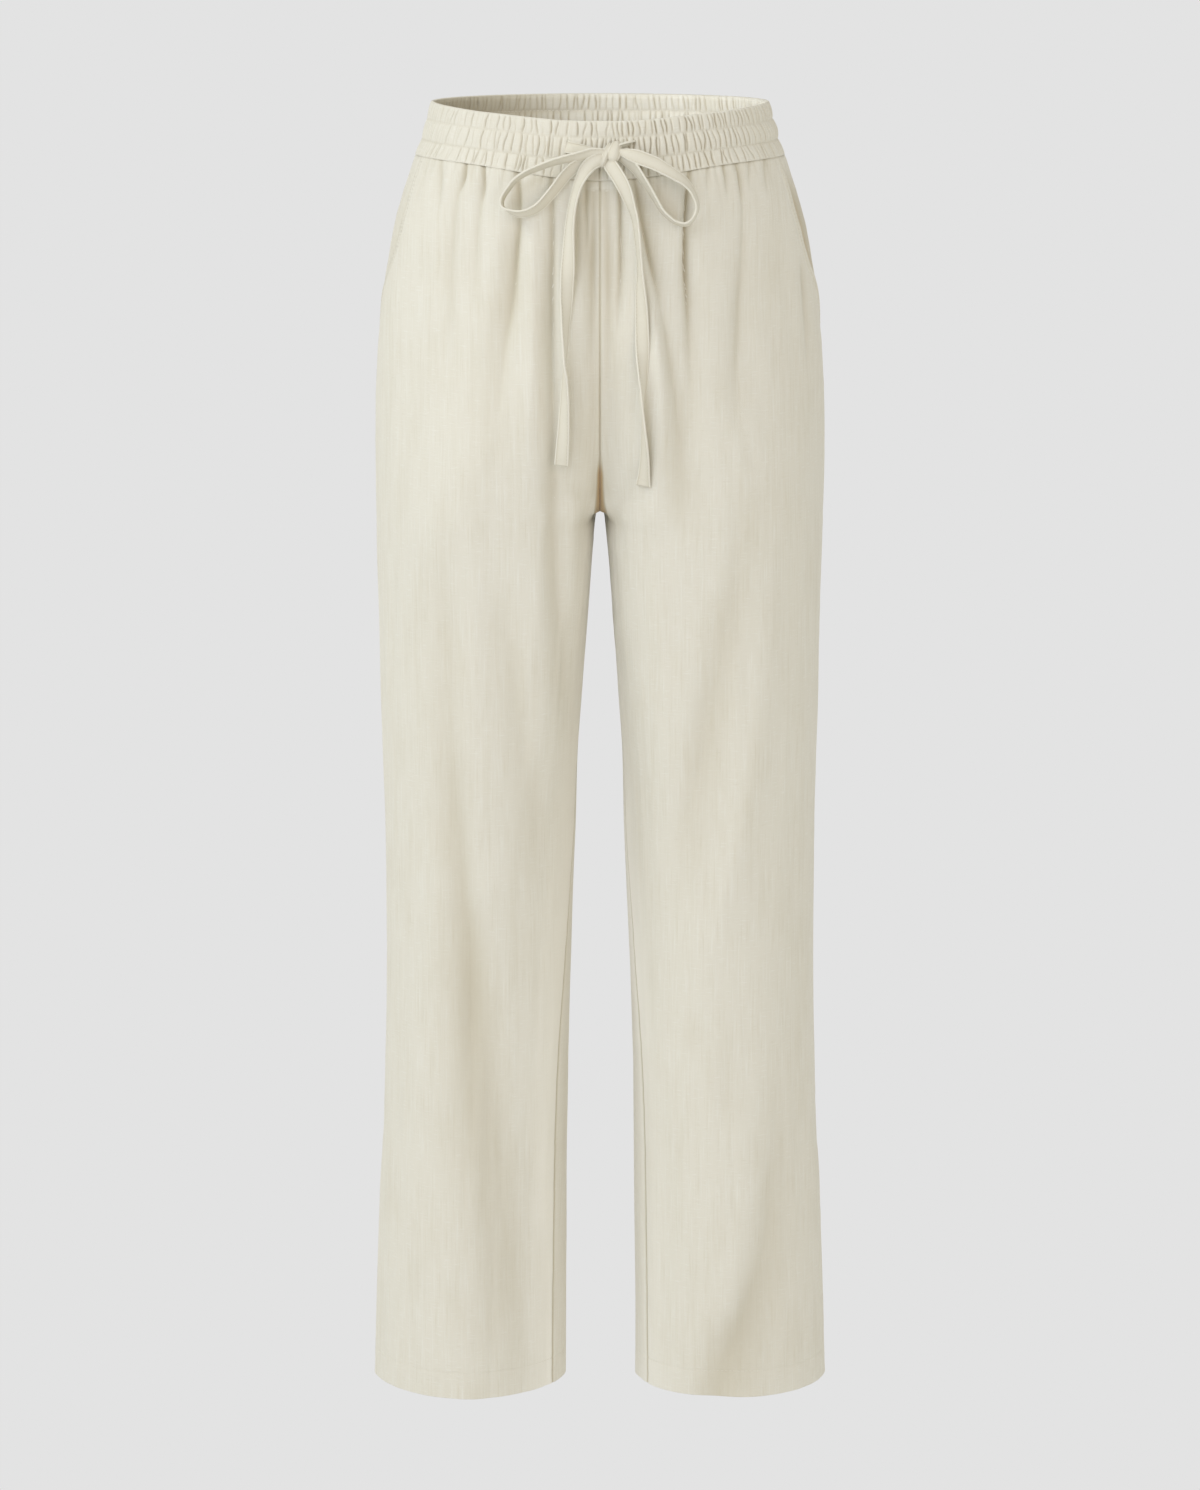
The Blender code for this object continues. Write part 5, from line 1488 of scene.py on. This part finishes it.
cloth_pieces = [waistband, *panels.values(), *facings.values()]
for piece in cloth_pieces:
    piece.data.materials.append(cloth_finish)
    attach(piece, "root")
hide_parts("waistband")
for name, piece in panels.items():
    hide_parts(name)
for side, piece in facings.items():
    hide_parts("pocket_facing_" + side)
for piece in sewing.values():
    piece.data.materials.append(thread_finish)
    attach(piece, "root")
for piece in (drawstring_left, drawstring_right, bow_knot):
    piece.data.materials.append(tape_finish)
    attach(piece, "root")
for piece in tape_sewing.values():
    piece.data.materials.append(thread_finish)
    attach(piece, "root")
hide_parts("bow_knot")
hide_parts("drawstring_lead_left", "bow_loop_left", "drawstring_tail_left")
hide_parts("drawstring_lead_right", "bow_loop_right", "drawstring_tail_right")

# ---------------------------------------------------------------- floor and light

BACKGROUND = (0.768, 0.768, 0.768)
FLOOR_Z = -1.35
FLOOR_RADIUS = 9.0
FLOOR_LIGHT = (1.0, 1.0, 0.95)
FLOOR_GLOW = 0.81
ROOM = (1.0, 0.965, 0.880)
ROOM_POWER = 0.63


def seen_and_lit(tree, kind, ending, colour, power):
    """A tree that shows the plain background to the camera and gives its own light."""
    tree.nodes.clear()
    seen = add(tree, kind)
    seen.inputs[0].default_value = (*BACKGROUND, 1)
    lit = add(tree, kind)
    lit.inputs[0].default_value = (*colour, 1)
    lit.inputs[1].default_value = power
    ray = add(tree, "ShaderNodeLightPath")
    blend = add(tree, "ShaderNodeMixShader")
    tree.links.new(ray.outputs["Is Camera Ray"], blend.inputs[0])
    tree.links.new(lit.outputs[0], blend.inputs[1])
    tree.links.new(seen.outputs[0], blend.inputs[2])
    tree.links.new(blend.outputs[0], add(tree, ending).inputs[0])


def make_floor():
    """A plain pale floor, lit to the same tone as the room round it."""
    bpy.ops.mesh.primitive_circle_add(vertices=96, radius=FLOOR_RADIUS, fill_type="NGON",
                                      location=(0, 0, FLOOR_Z))
    floor = bpy.context.object
    floor.name = "floor"
    material = bpy.data.materials.new("pale floor")
    material.use_nodes = True
    seen_and_lit(material.node_tree, "ShaderNodeEmission", "ShaderNodeOutputMaterial", FLOOR_LIGHT,
                 FLOOR_GLOW)
    floor.data.materials.append(material)
    return floor


bpy.context.scene.view_settings.view_transform = "Standard"
world = bpy.data.worlds.new("studio")
bpy.context.scene.world = world
world.use_nodes = True
seen_and_lit(world.node_tree, "ShaderNodeBackground", "ShaderNodeOutputWorld", ROOM, ROOM_POWER)

make_floor()

LIGHT_COLUMNS = ("name", "place", "size", "power", "colour", "aim")
LIGHTS = (
    ("key", (-1.9, -2.9, 1.2), 2.4, 45.5, (0.78, 0.86, 1.0), (0, 0, -0.5)),
    ("upper left", (-2.4, -0.8, 2.3), 1.4, 30.0, (0.96, 1.0, 0.93), (0, 0, -0.5)),
    ("right fill", (1.9, -2.9, 0.6), 2.4, 16.0, (1.0, 0.85, 0.70), (0, 0, -0.5)),
    ("right edge", (3.3, -0.9, 0.3), 1.6, 5.0, (0.35, 0.70, 1.0), (0, 0, -0.5)),
)
# Thin linen lets light through: a small lamp inside the waist stands for it.
INSIDE_GLOW = ("inside glow", (0.0, -0.04, -0.04), 0.05, 0.10, (0.96, 0.98, 1.0),
               (0.11, 0.055, 0.005))


def add_lamp(name, place, size, power, colour, aim):
    """A square area lamp, turned to the point it is aimed at."""
    data = bpy.data.lights.new(name, "AREA")
    data.shape = "SQUARE"
    data.size = size
    data.energy = power
    data.color = colour
    lamp = bpy.data.objects.new(name, data)
    lamp.location = place
    lamp.rotation_euler = (Vector(aim) - Vector(place)).to_track_quat("-Z", "Y").to_euler()
    bpy.context.scene.collection.objects.link(lamp)
    return lamp


for row in LIGHTS:
    add_lamp(**dict(zip(LIGHT_COLUMNS, row)))
glow = add_lamp(**dict(zip(LIGHT_COLUMNS, INSIDE_GLOW)))
glow.visible_camera = False
